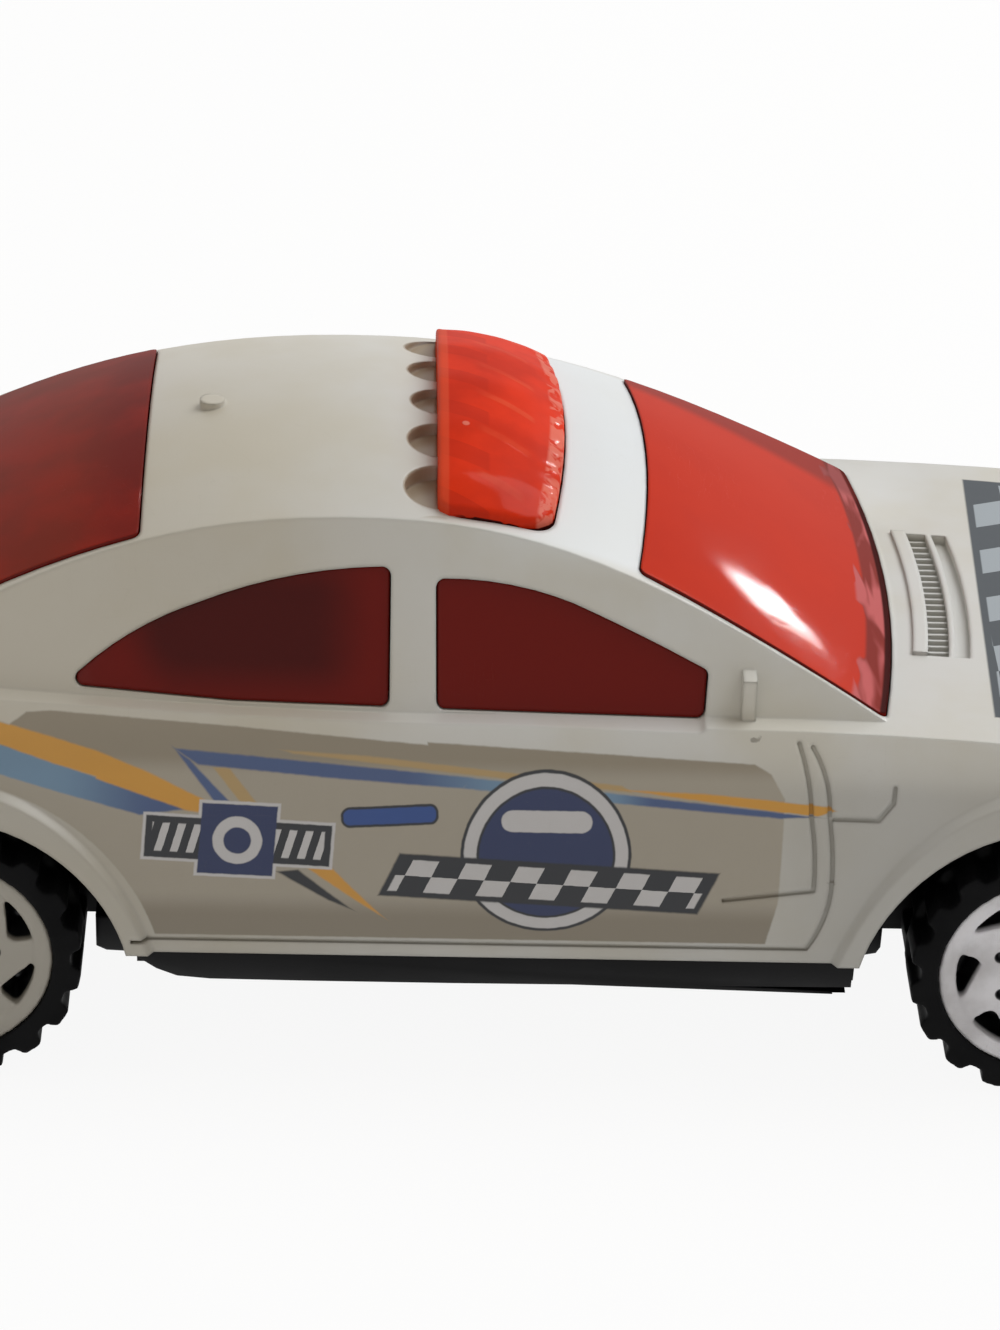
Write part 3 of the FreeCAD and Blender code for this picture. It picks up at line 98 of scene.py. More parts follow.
class CastingSettings(bpy.types.PropertyGroup):
    """Enamel and print of the casting."""

    enamel: paint_property("Enamel", "Off-white enamel of the casting", "CFCFCC")
    aged: paint_property("Aged enamel", "Enamel where it has yellowed", "C9C6BC")
    # Roof: a painted sheen, lighter and cooler enamel standing in for reflected light on the roof ahead of the
    # light bar.
    crown: paint_property("Roof", "Clean cool white of the roof ahead of the light bar", "E4EAF0")
    # Low enamel: painted shade, darker enamel low on the flanks and on the front wings.
    shaded: paint_property("Low enamel", "Duller enamel low on the flanks and front wings", "A3A29E")
    # Enamel towards the tail: painted warm shade, darker and warmer enamel towards the tail.
    yellowed: paint_property("Yellowed enamel", "Enamel towards the tail, yellowed by the sun", "B3A88F")
    # Recesses: painted shade on the floors of the recesses behind the light bar, which the bar shades.
    scallop_shade: paint_property("Recesses", "Discoloured enamel in the recesses behind the light bar", "9A8A70")
    # Grime: dirt in the shut lines together with painted shade in every crease and hollow that the occlusion
    # mask finds; also the colour of hairline scratches.
    grime_and_shade: paint_property("Grime", "Dirt that stays in the shut lines", "77705F")
    field_top: paint_property("Field, top", "Taupe field below the windows", "8F8676")
    field_middle: paint_property("Field, middle", "Taupe field beside the badge", "A39C8F")
    field_foot: paint_property("Field, foot", "Taupe field above the sills", "888072")
    amber: paint_property("Amber", "Amber stripes", "CB9540")
    amber_pale: paint_property("Pale amber", "Faded amber stripe along the doors", "AE9468")
    blue: paint_property("Blue", "Blue stripes", "44567E")
    blue_pale: paint_property("Pale blue", "Blue stripe over the rear wheel", "6F8CA6")
    navy: paint_property("Navy", "Badge, handle and chequers", "1E2A50")
    ink: paint_property("Ink", "Dark keylines of the print", "15171C")
    silver: paint_property("Silver", "Light chequers and the badge's ring", "C3C2C4")
    bonnet_ink: paint_property("Bonnet, dark", "Dark squares on the bonnet", "1F2A33")
    bonnet_pale: paint_property("Bonnet, pale", "Pale squares on the bonnet", "98A1A8")
    edge_round: length_property("Edge rounding", "How round the casting's edges look under the enamel", 0.26)


class GlassSettings(bpy.types.PropertyGroup):
    """Clear red moulding."""

    screen: paint_property("Windscreen", "Red of the windscreen", "CC2D08")
    # Screen foot: painted shade along the foot of the windscreen and towards its far pillar.
    screen_foot_shade: paint_property("Screen foot", "Dark red at the foot of the windscreen", "6E1C16")
    # Screen facets: painted glints, pale reflections on the bevel at the windscreen's foot.
    screen_foot_glints: paint_property("Screen facets", "Pale facets at the foot of the windscreen", "C6686A")
    # Edges: a painted shadow line where the red moulding meets the casting.
    rim_shadow: paint_property("Edges", "Near black of the moulding's edges against the casting", "3E0A07")
    # Side windows: painted shade, darker red where the panes face sideways, over the dark inside.
    side: paint_property("Side windows", "Red of the side windows over the dark inside", "72140A")
    # Side windows, deep: a painted shadow on the side windows over the rear seats.
    side_seat_shadow: paint_property("Side windows, deep", "Red of the side windows over the rear seats", "3A0A07")
    rear: paint_property("Rear window", "Red of the rear window over the parcel shelf", "7E2410")
    # Rear window, deep: painted shade, darker red where the rear window runs under the roof.
    rear_roof_shade: paint_property("Rear window, deep", "Red of the rear window under the roof", "731609")
    lamp: paint_property("Light bar", "Red of the light bar", "E8340A")
    lamp_deep: paint_property("Light bar, deep", "Darker red inside the light bar", "BE2406")
    # Light bar, pale: painted reflections along the ribs and a painted highlight along the rear edge.
    lamp_highlight: paint_property("Light bar, pale", "Ribs and rear edge of the light bar", "E85A36")
    # Front lip: painted glints, pale reflections in the facets of the bar's front lip; the small pip takes this
    # colour too.
    lip_glint_and_pip: paint_property("Front lip", "Pale facets of the light bar's front lip", "EE8A76")
    facet_height: length_property("Facet height", "How far the lens facets stand along the bar's front", 0.1)
    facet_pitch: length_property("Facets", "Pitch of the lens facets along the bar's front", 1.45)


class WheelSettings(bpy.types.PropertyGroup):
    """Tyres, hubs, axles, seats and base."""

    rubber: paint_property("Tyre", "Black of the tyres", "060607")
    dust: paint_property("Tyre dust", "Dust in the tyres' notches", "1E1D1B")
    silver: paint_property("Hub", "Satin silver of the hubs", "E2E2E8")
    # Rear hub: painted shade, darker silver on the rear hubs.
    rear_hub_shade: paint_property("Rear hub", "Silver of the rear hubs, which have dulled", "A29E95")
    pocket: paint_property("Hub openings", "Black of the openings between spokes", "08080A")
    steel: paint_property("Axle", "Drawn wire", "A8A8AC")
    base: paint_property("Base", "Black of the base", "050506")
    seats: paint_property("Seats", "Dark moulding behind the windows", "1C1517")
    pocket_depth: length_property("Black below", "Depth below the spokes at which the openings turn black", 0.3)


class StageSettings(bpy.types.PropertyGroup):
    """Floor, lamps and camera."""

    floor: paint_property("Floor", "Pale floor", "F4F4F3")
    lens: FloatProperty(name="Lens", description="Focal length for the photograph's frame", default=141.05,
                        min=10.0, subtype="DISTANCE_CAMERA")
    key: FloatProperty(name="Key lamp", description="Power of the large lamp overhead", default=0.98,
                       min=0.0, subtype="POWER")
    fill: FloatProperty(name="Fill lamp", description="Power of the lamp beside the camera", default=0.10,
                        min=0.0, subtype="POWER")
    window: FloatProperty(name="Window lamp", description="Power of the small lamp that glints in the screens",
                          default=0.13, min=0.0, subtype="POWER")


# Node work.

def join(tree, value, socket):
    """Link an input to another node's socket, or give it a number or a colour."""
    if isinstance(value, bpy.types.NodeSocket):
        tree.links.new(value, socket)
    else:
        socket.default_value = value


def add_node(tree, kind, values=None, **settings):
    """A node with its settings, whose inputs are numbers, colours or other nodes' sockets."""
    made = tree.nodes.new(kind)
    for word, value in settings.items():
        setattr(made, word, value)
    for word, value in (values or {}).items():
        join(tree, value, made.inputs[word])
    return made


def beside(kind, values, **settings):
    """A node in the same tree as the first socket among its values."""
    tree = next(value.id_data for value in values.values() if isinstance(value, bpy.types.NodeSocket))
    return add_node(tree, kind, values, **settings)


def maths(operation, first, second=0.0):
    return beside("ShaderNodeMath", {0: first, 1: second}, operation=operation).outputs[0]


def times(first, second):
    return maths("MULTIPLY", first, second)


def plus(first, second):
    return maths("ADD", first, second)


def minus(first, second):
    return maths("SUBTRACT", first, second)


def summed(base, *parts):
    """A base and so much of each of the parts."""
    for value, share in parts:
        base = plus(base, times(value, share))
    return base


def product(masks):
    whole = masks[0]
    for mask in masks[1:]:
        whole = times(whole, mask)
    return whole


def vectors(operation, first, second=(0.0, 0.0, 0.0)):
    """A vector sum, whose answer is a vector or, for lengths and dot products, a number."""
    made = beside("ShaderNodeVectorMath", {0: first, 1: second}, operation=operation)
    return made.outputs["Value" if operation in ("LENGTH", "DOT_PRODUCT") else "Vector"]


def blended(share, below, above):
    """One colour over another, where the share is 1."""
    return beside("ShaderNodeMix", {0: share, 6: below, 7: above}, data_type="RGBA").outputs[2]


def stepped(value, low, high, start=0.0, end=1.0):
    """A number eased from start to end as the value goes from low to high."""
    return beside("ShaderNodeMapRange", {0: value, 1: low, 2: high, 3: start, 4: end},
                  interpolation_type="SMOOTHSTEP").outputs[0]


def parts_of(vector):
    return beside("ShaderNodeSeparateXYZ", {0: vector}).outputs


def vector_of(x, y=0.0, z=0.0):
    return beside("ShaderNodeCombineXYZ", {0: x, 1: y, 2: z}).outputs[0]


def noise(place, scale, detail, distortion=0.0):
    return beside("ShaderNodeTexNoise", {"Vector": place, "Scale": scale, "Detail": detail,
                                         "Distortion": distortion}).outputs


def open_air(tree, reach):
    """How open a point's surroundings are, from 0 in a slit to 1."""
    return add_node(tree, "ShaderNodeAmbientOcclusion", {"Distance": reach}, samples=8).outputs["AO"]


def in_millimetres(place):
    """The object's own coordinates in millimetres."""
    point = vectors("SCALE", place)
    point.node.inputs["Scale"].default_value = 1 / MM
    return point


def zone(parts, limits):
    """A mask from limits along the car, across it to either side and up, each going from 0 to 1."""
    return product([stepped(maths("ABSOLUTE", parts[axis]) if axis == "Y" else parts[axis], outer, inner)
                    for axis, outer, inner in limits])


def new_group(name, inputs, outputs):
    """An empty node group, its input sockets and the node that its outputs go to."""
    group = bpy.data.node_groups.new(name, "ShaderNodeTree")
    for word, kind, default in inputs:
        socket = group.interface.new_socket(word, in_out="INPUT", socket_type="NodeSocket" + kind)
        if default is not None:
            socket.default_value = default
    for word, kind in outputs:
        group.interface.new_socket(word, in_out="OUTPUT", socket_type="NodeSocket" + kind)
    start = group.nodes.new("NodeGroupInput")
    end = group.nodes.new("NodeGroupOutput")
    return group, start.outputs, end.inputs


def use_group(name, values):
    return beside("ShaderNodeGroup", values, node_tree=bpy.data.node_groups[name]).outputs


def inside(point, corners):
    """How far a point lies inside a convex outline in the plane of X and Z, in millimetres."""
    turn = sum(a[0] * b[1] - b[0] * a[1] for a, b in zip(corners, corners[1:] + corners[:1]))
    if turn < 0:
        corners = corners[::-1]
    least = None
    for (ax, az), (bx, bz) in zip(corners, corners[1:] + corners[:1]):
        run = math.hypot(bx - ax, bz - az)
        inward = (-(bz - az) / run, 0.0, (bx - ax) / run)
        reach = vectors("DOT_PRODUCT", point, inward)
        reach = minus(reach, inward[0] * ax + inward[2] * az)
        least = reach if least is None else maths("MINIMUM", least, reach)
    return least


def inside_round(point, centre, reach, corner, lean=0.0):
    """How far a point lies inside a box with round corners, which may lean, in millimetres."""
    moved = vectors("SUBTRACT", point, (centre[0], 0.0, centre[1]))
    if lean:
        moved = beside("ShaderNodeVectorRotate", {"Vector": moved, "Axis": (0.0, 1.0, 0.0),
                                                  "Angle": math.radians(lean)}).outputs[0]
    moved = vectors("MULTIPLY", moved, (1.0, 0.0, 1.0))
    beyond = vectors("SUBTRACT", vectors("ABSOLUTE", moved),
                     (reach[0] - corner, 0.0, reach[1] - corner))
    beyond = vectors("LENGTH", vectors("MAXIMUM", beyond))
    return minus(corner, beyond)


def either(reaches):
    most = reaches[0]
    for reach in reaches[1:]:
        most = maths("MAXIMUM", most, reach)
    return most


def filled(reach, edge=0.035):
    """The mask of what lies inside an outline."""
    return stepped(reach, -edge, edge)


def chequered(across, up, slant, width, height):
    """1 and 0 in turn over a field of leaning squares."""
    column = maths("DIVIDE", minus(across, times(up, slant)), width)
    row = maths("DIVIDE", up, height)
    total = plus(maths("FLOOR", column), maths("FLOOR", row))
    return maths("MODULO", maths("ABSOLUTE", total), 2.0)


# Print on the flanks, as outlines in the plane of X and Z, in millimetres. Both flanks carry it.
FIELD = [
    [(-19.8, 14.2), (-18.3, 15.2), (-16.8, 15.3), (-10.4, 14.85), (-2.8, 14.4), (-2.8, 6.5), (-19.8, 6.5)],
    [(-2.9, 14.42), (3.2, 14.15), (9.7, 13.85), (10.35, 13.5), (10.9, 12.6), (10.85, 10.1), (10.8, 8.4),
     (10.4, 6.5), (-2.9, 6.5)],
]
ARCH_CENTRE = (-21.5, 4.22)
ARCH_REACH = 8.5
REAR_AMBER = [
    [(-24.0, 16.0), (-17.4, 14.4), (-15.5, 13.9), (-15.5, 12.9), (-17.4, 13.5), (-24.0, 15.3)],
    [(-15.6, 13.93), (-13.6, 13.2), (-11.4, 12.2), (-11.4, 11.7), (-12.1, 11.8), (-15.6, 12.93)],
]
REAR_BLUE = [
    [(-24.0, 15.4), (-17.4, 13.55), (-12.1, 11.85), (-13.9, 11.6), (-17.0, 12.4), (-24.0, 14.3)],
]
DOOR_BLUE = [
    [(-12.6, 14.05), (-9.1, 13.8), (-1.1, 13.2), (-1.5, 12.8), (-6.6, 13.1), (-11.7, 13.5)],
    [(-1.3, 13.2), (4.9, 12.7), (10.8, 12.1), (12.4, 11.95), (10.8, 11.88), (5.3, 12.28), (-1.5, 12.8)],
    [(-12.6, 14.05), (-12.0, 13.65), (-10.4, 12.1), (-11.0, 12.1)],
]
DOOR_AMBER_PALE = [
    [(-8.4, 14.05), (-5.1, 13.9), (4.6, 13.0), (5.1, 12.7), (-1.2, 13.3), (-7.8, 13.88)],
    [(-11.1, 13.4), (-10.5, 13.4), (-9.4, 12.1), (-10.0, 12.1)],
]
DOOR_AMBER = [
    [(4.2, 13.05), (7.3, 12.8), (10.1, 12.7), (12.0, 12.65), (12.9, 12.2), (12.1, 11.95), (10.7, 12.12),
     (4.6, 12.72)],
]
LOW_AMBER = [[(-7.6, 9.7), (-6.6, 9.7), (-4.5, 7.5), (-5.4, 8.1)]]
LOW_DARK = [[(-8.6, 9.4), (-7.8, 9.5), (-5.7, 7.8), (-6.6, 8.2)]]
PLATE_WINGS = [(-13.65, 11.6), (-6.5, 11.3), (-6.6, 9.65), (-13.75, 9.95)]
PLATE_CENTRE = [(-11.5, 12.1), (-8.6, 12.0), (-8.8, 9.2), (-11.7, 9.3)]
BAND = [(-3.9, 10.25), (8.5, 9.65), (7.7, 7.85), (-4.7, 8.45)]
BADGE_CENTRE = (1.75, 10.25)
BADGE_RADIUS = 3.3
# The rings of the badge: how far inside its edge each starts, and the setting with its colour.
BADGE_RINGS = [(0.0, "ink"), (0.13, "silver"), (0.62, "ink"), (0.72, "navy")]
# Slant, width and height of the squares of the band, the band's slope and where its rows start.
BAND_SQUARES = (0.45, 1.02, 0.9)
BAND_SLOPE = -0.048
BAND_FOOT = 8.25
# The bars on the plate: their lean, their pitch and the share of it that is dark.
STRIPE_LEAN = 0.3
STRIPE_PITCH = 0.62
STRIPE_SHARE = 0.52
PLATE_RING_WIDTH = 0.42
# Rounded boxes: centre, half sizes, corner radius and, where it isn't 0, lean in degrees.
BADGE_BAR = ((1.75, 11.6), (1.75, 0.42), 0.42)
PLATE_RING = ((-10.15, 10.65), (0.95, 0.95), 0.95)
HANDLE = ((-4.3, 11.72), (1.88, 0.4), 0.34, 3.4)
SCUFFS = [((-16.6, 15.6), (0.5, 0.1), 0.08), ((12.8, 9.3), (0.2, 0.07), 0.06),
          ((9.75, 14.7), (0.16, 0.07), 0.06)]
# How far from the middle the flanks begin.
FLANK_FROM = 11.3
# Print on the bonnet, as an outline in plan: all above a height, with the slant, width and height of
# its squares and where their rows start.
BONNET_BLOCK = [(19.9, 11.0), (25.6, 11.0), (25.0, -10.2), (19.15, -10.2)]
BONNET_FROM = 12.6
BONNET_SQUARES = (0.5, 2.1, 1.7)
BONNET_ROWS = 19.7


def make_print_group(settings):
    """Flank print: a taupe field, stripes, a blank badge, a chequered band and a plate of bars."""
    group, given, wanted = new_group(
        "flank_print", [("Vector", "Vector", None)],
        [("Colour", "Color"), ("Cover", "Float"), ("Scuffs", "Float")])
    point = in_millimetres(given["Vector"])
    shift = vectors("SUBTRACT", noise(point, 3.0, 3.0)["Color"], (0.5, 0.5, 0.5))
    shift = vectors("MULTIPLY", shift, (0.05, 0.0, 0.05))
    point = vectors("ADD", point, shift)
    parts = parts_of(point)
    across, up = parts["X"], parts["Z"]
    flank = maths("GREATER_THAN", maths("ABSOLUTE", parts["Y"]), FLANK_FROM)

    upper = stepped(up, 13.9, 13.1)
    colour = blended(upper, settings.field_top, settings.field_middle)
    colour = blended(stepped(up, 8.6, 7.4), colour, settings.field_foot)
    arch = inside_round(point, ARCH_CENTRE, (ARCH_REACH, ARCH_REACH), ARCH_REACH)
    field = either([inside(point, form) for form in FIELD])
    cover = filled(maths("MINIMUM", field, times(arch, -1.0)), 0.05)

    pale = stepped(across, -13.0, -17.5)
    rear_blue = blended(pale, settings.blue, settings.blue_pale)
    faded = stepped(across, -4.0, 0.5)
    door_blue = blended(faded, settings.blue, settings.blue_pale)
    door_blue = blended(stepped(across, 4.0, 6.0), door_blue, settings.blue)
    streaks = ((REAR_BLUE, rear_blue), (REAR_AMBER, settings.amber),
               (DOOR_AMBER_PALE, settings.amber_pale), (DOOR_AMBER, settings.amber),
               (DOOR_BLUE, door_blue), (LOW_AMBER, settings.amber), (LOW_DARK, settings.ink))
    layers = []
    for forms, ink in streaks:
        layers.append((filled(either([inside(point, form) for form in forms]), 0.06), ink))

    badge = inside_round(point, BADGE_CENTRE, (BADGE_RADIUS, BADGE_RADIUS), BADGE_RADIUS)
    for inset, word in BADGE_RINGS:
        layers.append((filled(minus(badge, inset)), getattr(settings, word)))
    layers.append((filled(inside_round(point, *BADGE_BAR)), settings.silver))

    band = inside(point, BAND)
    rise = minus(up, times(across, BAND_SLOPE))
    squares = chequered(across, minus(rise, BAND_FOOT), *BAND_SQUARES)
    squares = times(squares, filled(minus(band, 0.24)))
    layers += [(filled(band, 0.06), settings.ink), (squares, settings.silver)]

    wings = inside(point, PLATE_WINGS)
    centre = inside(point, PLATE_CENTRE)
    rim = filled(plus(maths("MAXIMUM", wings, centre), 0.12))
    leaning = maths("DIVIDE", minus(across, times(up, STRIPE_LEAN)), STRIPE_PITCH)
    stripes = maths("GREATER_THAN", maths("FRACT", leaning), STRIPE_SHARE)
    stripes = times(stripes, filled(minus(wings, 0.26)))
    ring = inside_round(point, *PLATE_RING)
    ring = maths("MINIMUM", ring, minus(PLATE_RING_WIDTH, ring))
    handle = inside_round(point, *HANDLE)
    layers += [(rim, settings.silver), (filled(wings), settings.ink), (stripes, settings.silver),
               (filled(centre), settings.navy), (filled(ring), settings.silver),
               (filled(handle), settings.ink),
               (filled(minus(handle, 0.1)), tint("2C4A88"))]
    for mask, ink in layers:
        colour = blended(mask, colour, ink)
        cover = maths("MAXIMUM", cover, mask)

    marks = either([inside_round(point, *scuff) for scuff in SCUFFS])
    grain = noise(point, 2.4, 5.0)[0]
    marks = plus(marks, times(minus(grain, 0.55), 0.6))
    marks = times(filled(marks, 0.05), flank)
    group.links.new(colour, wanted["Colour"])
    group.links.new(times(cover, flank), wanted["Cover"])
    group.links.new(marks, wanted["Scuffs"])


def make_bonnet_group(settings):
    """A chequered block across the bonnet, with dark keylines."""
    group, given, wanted = new_group("bonnet_print", [("Vector", "Vector", None)],
                                     [("Colour", "Color"), ("Cover", "Float")])
    parts = parts_of(in_millimetres(given["Vector"]))
    block = inside(vector_of(parts["X"], z=parts["Y"]), BONNET_BLOCK)
    top = maths("GREATER_THAN", parts["Z"], BONNET_FROM)
    cover = times(filled(block, 0.06), top)
    squares = chequered(parts["Y"], minus(parts["X"], BONNET_ROWS), *BONNET_SQUARES)
    squares = times(squares, filled(minus(block, 0.32)))
    group.links.new(blended(squares, settings.bonnet_ink, settings.bonnet_pale), wanted["Colour"])
    group.links.new(cover, wanted["Cover"])


def make_grain_group():
    """Fine unevenness of a cast or moulded surface: a height for bumps and a share for roughness."""
    group, given, wanted = new_group(
        "moulded_grain",
        [("Vector", "Vector", None), ("Fine Scale", "Float", 3000.0), ("Broad Scale", "Float", 220.0)],
        [("Height", "Float"), ("Share", "Float")])
    fine = noise(given["Vector"], given["Fine Scale"], 3.0)[0]
    broad = noise(given["Vector"], given["Broad Scale"], 4.0)[0]
    group.links.new(plus(times(fine, 0.35), broad), wanted["Height"])
    group.links.new(stepped(broad, 0.35, 0.68), wanted["Share"])


def grained(place, fine, broad):
    return use_group("moulded_grain", {"Vector": place, "Fine Scale": fine, "Broad Scale": broad})


def make_scratch_group():
    """Hairline scratches in two directions, faint and broken up."""
    group, given, wanted = new_group("hairlines", [("Vector", "Vector", None), ("Scale", "Float", 400.0)],
                                     [("Mask", "Float")])
    total = None
    for turn, stretch in ((0.5, (1.0, 1.0, 14.0)), (-0.9, (12.0, 1.0, 1.0))):
        moved = beside("ShaderNodeMapping", {"Vector": given["Vector"], "Rotation": (0.2, turn, turn),
                                             "Scale": stretch}).outputs[0]
        lines = noise(moved, given["Scale"], 2.0)[0]
        ridge = maths("ABSOLUTE", minus(lines, 0.5))
        mask = stepped(ridge, 0.006, 0.0)
        total = mask if total is None else maths("MAXIMUM", total, mask)
    patch = noise(given["Vector"], 130.0, 2.0)[0]
    group.links.new(times(total, stepped(patch, 0.52, 0.66)), wanted["Mask"])


def scratched(place, scale):
    return use_group("hairlines", {"Vector": place, "Scale": scale})["Mask"]


# The light bar in plan, in metres: its rear edge, its front at the middle, its front's bow, half its
# width and the radii of its rear and front corners.
BAR_BACK = -2.68 * MM
BAR_FRONT = 2.4 * MM
BAR_BOW = 0.7 * MM
BAR_HALF = 8.05 * MM
BAR_CORNERS = {-1: 0.45 * MM, 1: 1.15 * MM}
# Its crown takes the CAD bar's heights up to these distances from the rear edge, the front edge and
# the middle. Past them it falls by a share of the distance, to the sides and to the front.
CROWN_REAR = 0.4 * MM
CROWN_FRONT = 0.35 * MM
BAR_SHOULDER = 7.6 * MM
SIDE_FALL = 0.62
FRONT_FALL = 0.65
# The lens's grid, how much closer its lines lie towards the sides, how often it is eased, how far
# behind its front edge the facets begin and over what length they rise.
LENS_GRID = (17, 66)
LENS_CROWDING = 0.2
LENS_EASE = 5
FACET_START = 0.9 * MM
FACET_RAMP = 0.7 * MM
# The skirt round the lens: its first row and its whole depth, with the least angle in radians that
# is rounded and the size of the rounding.
SKIRT_TOP = 0.36 * MM
SKIRT_DEPTH = 1.9 * MM
SKIRT_ANGLE = 0.9
SKIRT_ROUND = 0.11 * MM
# The moulding's faces that the lens replaces lie this near the bar in plan and this far above the
# sheet under the roof, whose height is taken this far behind the bar. Probes start from PROBE_TOP.
BAR_MARGIN = 0.2 * MM
SHEET_CLEAR = 0.75 * MM
SHEET_BEHIND = 1.0 * MM
PROBE_TOP = 0.04
# The ribs in the lens, which carry painted reflections, in millimetres: pitch, lean, where they start,
# and their ends to the rear and the front. Then the front of the darker blocks, the painted glints of
# the lip, the painted highlight of the rear edge, the painted shade of the skirt and a small round pip.
RIB_PITCH = 2.75
RIB_LEAN = 0.42
RIB_START = 1.3
RIB_REAR = (-1.3, -0.8)
RIB_FRONT = (1.3, 1.0)
BLOCK_FRONT = (-0.6, -0.75)
LIP_GLINT_BAND = (1.75, 1.9)
REAR_EDGE_HIGHLIGHT = (-2.2, -2.3)
SKIRT_SHADE = (-2.3, -1.4)
PIP = ((-1.59, -3.66), (0.14, 0.14), 0.14)
# What shows through the windows, and where painted shade and glints lie on them, in millimetres from
# where each begins to where it is full.
FRONT_SEATS = (3.2, 4.2)
REAR_SEATS = (-4.5, -7.5)
REAR_SHELF = (-17.5, -14.5)
SCREEN_FOOT = (14.55, 14.75)
SCREEN_RIM_SHADOW = (15.36, 15.48)
FAR_PILLAR_SHADE = (7.0, 8.4)
SEAT_SHADOW = ((-9.5, 18.0), (4.6, 2.0), 1.9)
# Grime and painted crease shade fade out between these heights and are full below the lower one.
SHADE_AND_DIRT_TOP = (15.4, 14.6)
# The recesses behind the bar, whose floors get painted shade, in millimetres: their pitch, the radius of
# the middle one and how much larger each of the next is.
SCALLOP_PITCH = 3.2
SCALLOP_LEAST = 1.11
SCALLOP_STEP = 0.12
SCALLOP_ZONE = [("Z", 18.0, 18.5), ("X", -2.2, -2.4), ("Y", 8.4, 8.0)]
# How far the foot of the windscreen and the bar's front bow, per millimetre squared.
SCREEN_BOW = 0.0072
LIP_BOW = 0.011
# The wheels in millimetres: how far the axles lie from the middle and above the ground, and the round
# holes between the spokes, with the turn of the first one in radians and how soft their edge is.
AXLE_REACH = 21.5
AXLE_HEIGHT = 5.37
SPOKES = 7
NUT_CIRCLE = 1.95
NUT_TURN = math.radians(30.5 + 180.0 / SPOKES)
NUT_EDGE = (0.3, 0.23)
# Where the enamel's colour is changed: the setting with the colour, how much of it shows and the
# limits of the zone in millimetres. All are painted light: warm shade towards the tail, a sheen on
# the roof ahead of the light bar, and shade low on the flanks and front wings.
ENAMEL_ZONES = [
    # painted warm shade towards the tail
    ("yellowed", 0.5, [("X", 0.0, -13.0)]),
    # painted sheen on the roof ahead of the light bar
    ("crown", 0.65, [("Z", 17.0, 18.5), ("X", -3.0, 3.0), ("Y", 9.4, 8.4)]),
    # painted shade low on the flanks, and on the front wings
    ("shaded", 0.4, [("Z", 14.6, 12.6)]),
    ("shaded", 0.4, [("Z", 13.6, 12.6), ("X", 9.0, 13.0)]),
]


def new_material(name):
    """A material with its Principled shader, its tree and the object's own coordinates."""
    made = bpy.data.materials.new(name)
    made.use_nodes = True
    tree = made.node_tree
    shader = tree.nodes["Principled BSDF"]
    place = add_node(tree, "ShaderNodeTexCoord").outputs["Object"]
    return made, tree, shader, place


def feed(tree, shader, **sockets):
    """Join sockets or numbers to the shader's inputs, with spaces for underscores."""
    for word, value in sockets.items():
        join(tree, value, shader.inputs[word.replace("_", " ")])


def bumped(height, strength, distance, radius=None, samples=6):
    """A normal with small bumps that, given a radius, makes edges look round too."""
    made = beside("ShaderNodeBump", {"Height": height, "Strength": strength, "Distance": distance})
    if radius is not None:
        rounded = add_node(height.id_data, "ShaderNodeBevel", {"Radius": radius}, samples=samples)
        join(height.id_data, rounded.outputs[0], made.inputs["Normal"])
    return made.outputs[0]


def make_enamel(settings):
    """Off-white enamel with its print and scuffs, painted shade and a painted sheen in places, and painted
    crease shade with soiling in the shut lines.
    """
    made, tree, shader, place = new_material("printed_enamel")
    grain = grained(place, 2600.0, 150.0)
    lines = scratched(place, 260.0)
    side = use_group("flank_print", {"Vector": place})
    bonnet = use_group("bonnet_print", {"Vector": place})
    colour = blended(grain["Share"], settings.enamel, settings.aged)
    parts = parts_of(in_millimetres(place))
    for word, share, limits in ENAMEL_ZONES:
        colour = blended(times(zone(parts, limits), share), colour, getattr(settings, word))
    colour = blended(bonnet["Cover"], colour, bonnet["Colour"])
    colour = blended(side["Cover"], colour, side["Colour"])
    # Darker in creases and hollows by the occlusion mask: painted shade, partly grime in the shut lines.
    dirt_and_shade = times(stepped(open_air(tree, 0.6 * MM), 0.62, 0.2), stepped(parts["Z"], *SHADE_AND_DIRT_TOP))
    colour = blended(times(dirt_and_shade, 0.4), colour, settings.grime_and_shade)
    colour = blended(times(lines, 0.05), colour, settings.grime_and_shade)
    turn = maths("ROUND", maths("DIVIDE", parts["Y"], SCALLOP_PITCH))
    aside = minus(parts["Y"], times(turn, SCALLOP_PITCH))
    offset = vector_of(minus(parts["X"], BAR_BACK / MM), aside)
    radius = plus(SCALLOP_LEAST, times(maths("ABSOLUTE", turn), SCALLOP_STEP))
    hollow = minus(radius, vectors("LENGTH", offset))
    hollow = times(stepped(hollow, -0.04, 0.06), zone(parts, SCALLOP_ZONE))
    # Painted shade on the floors of the recesses behind the light bar.
    colour = blended(times(hollow, 0.85), colour, settings.scallop_shade)
    colour = blended(times(side["Scuffs"], 0.75), colour, tint("7C776D"))
    gloss = summed(0.3, (grain["Share"], 0.07), (side["Cover"], 0.1), (dirt_and_shade, 0.3))
    normal = bumped(grain["Height"], 0.1, 0.05 * MM, settings.edge_round)
    feed(tree, shader, Base_Color=colour, Roughness=gloss, Normal=normal, Specular_IOR_Level=0.5)
    return made


def bowed(parts, bow):
    """How far ahead a point lies, counted along lines that bow as the red moulding's edges do."""
    return plus(parts["X"], times(times(parts["Y"], parts["Y"]), bow))


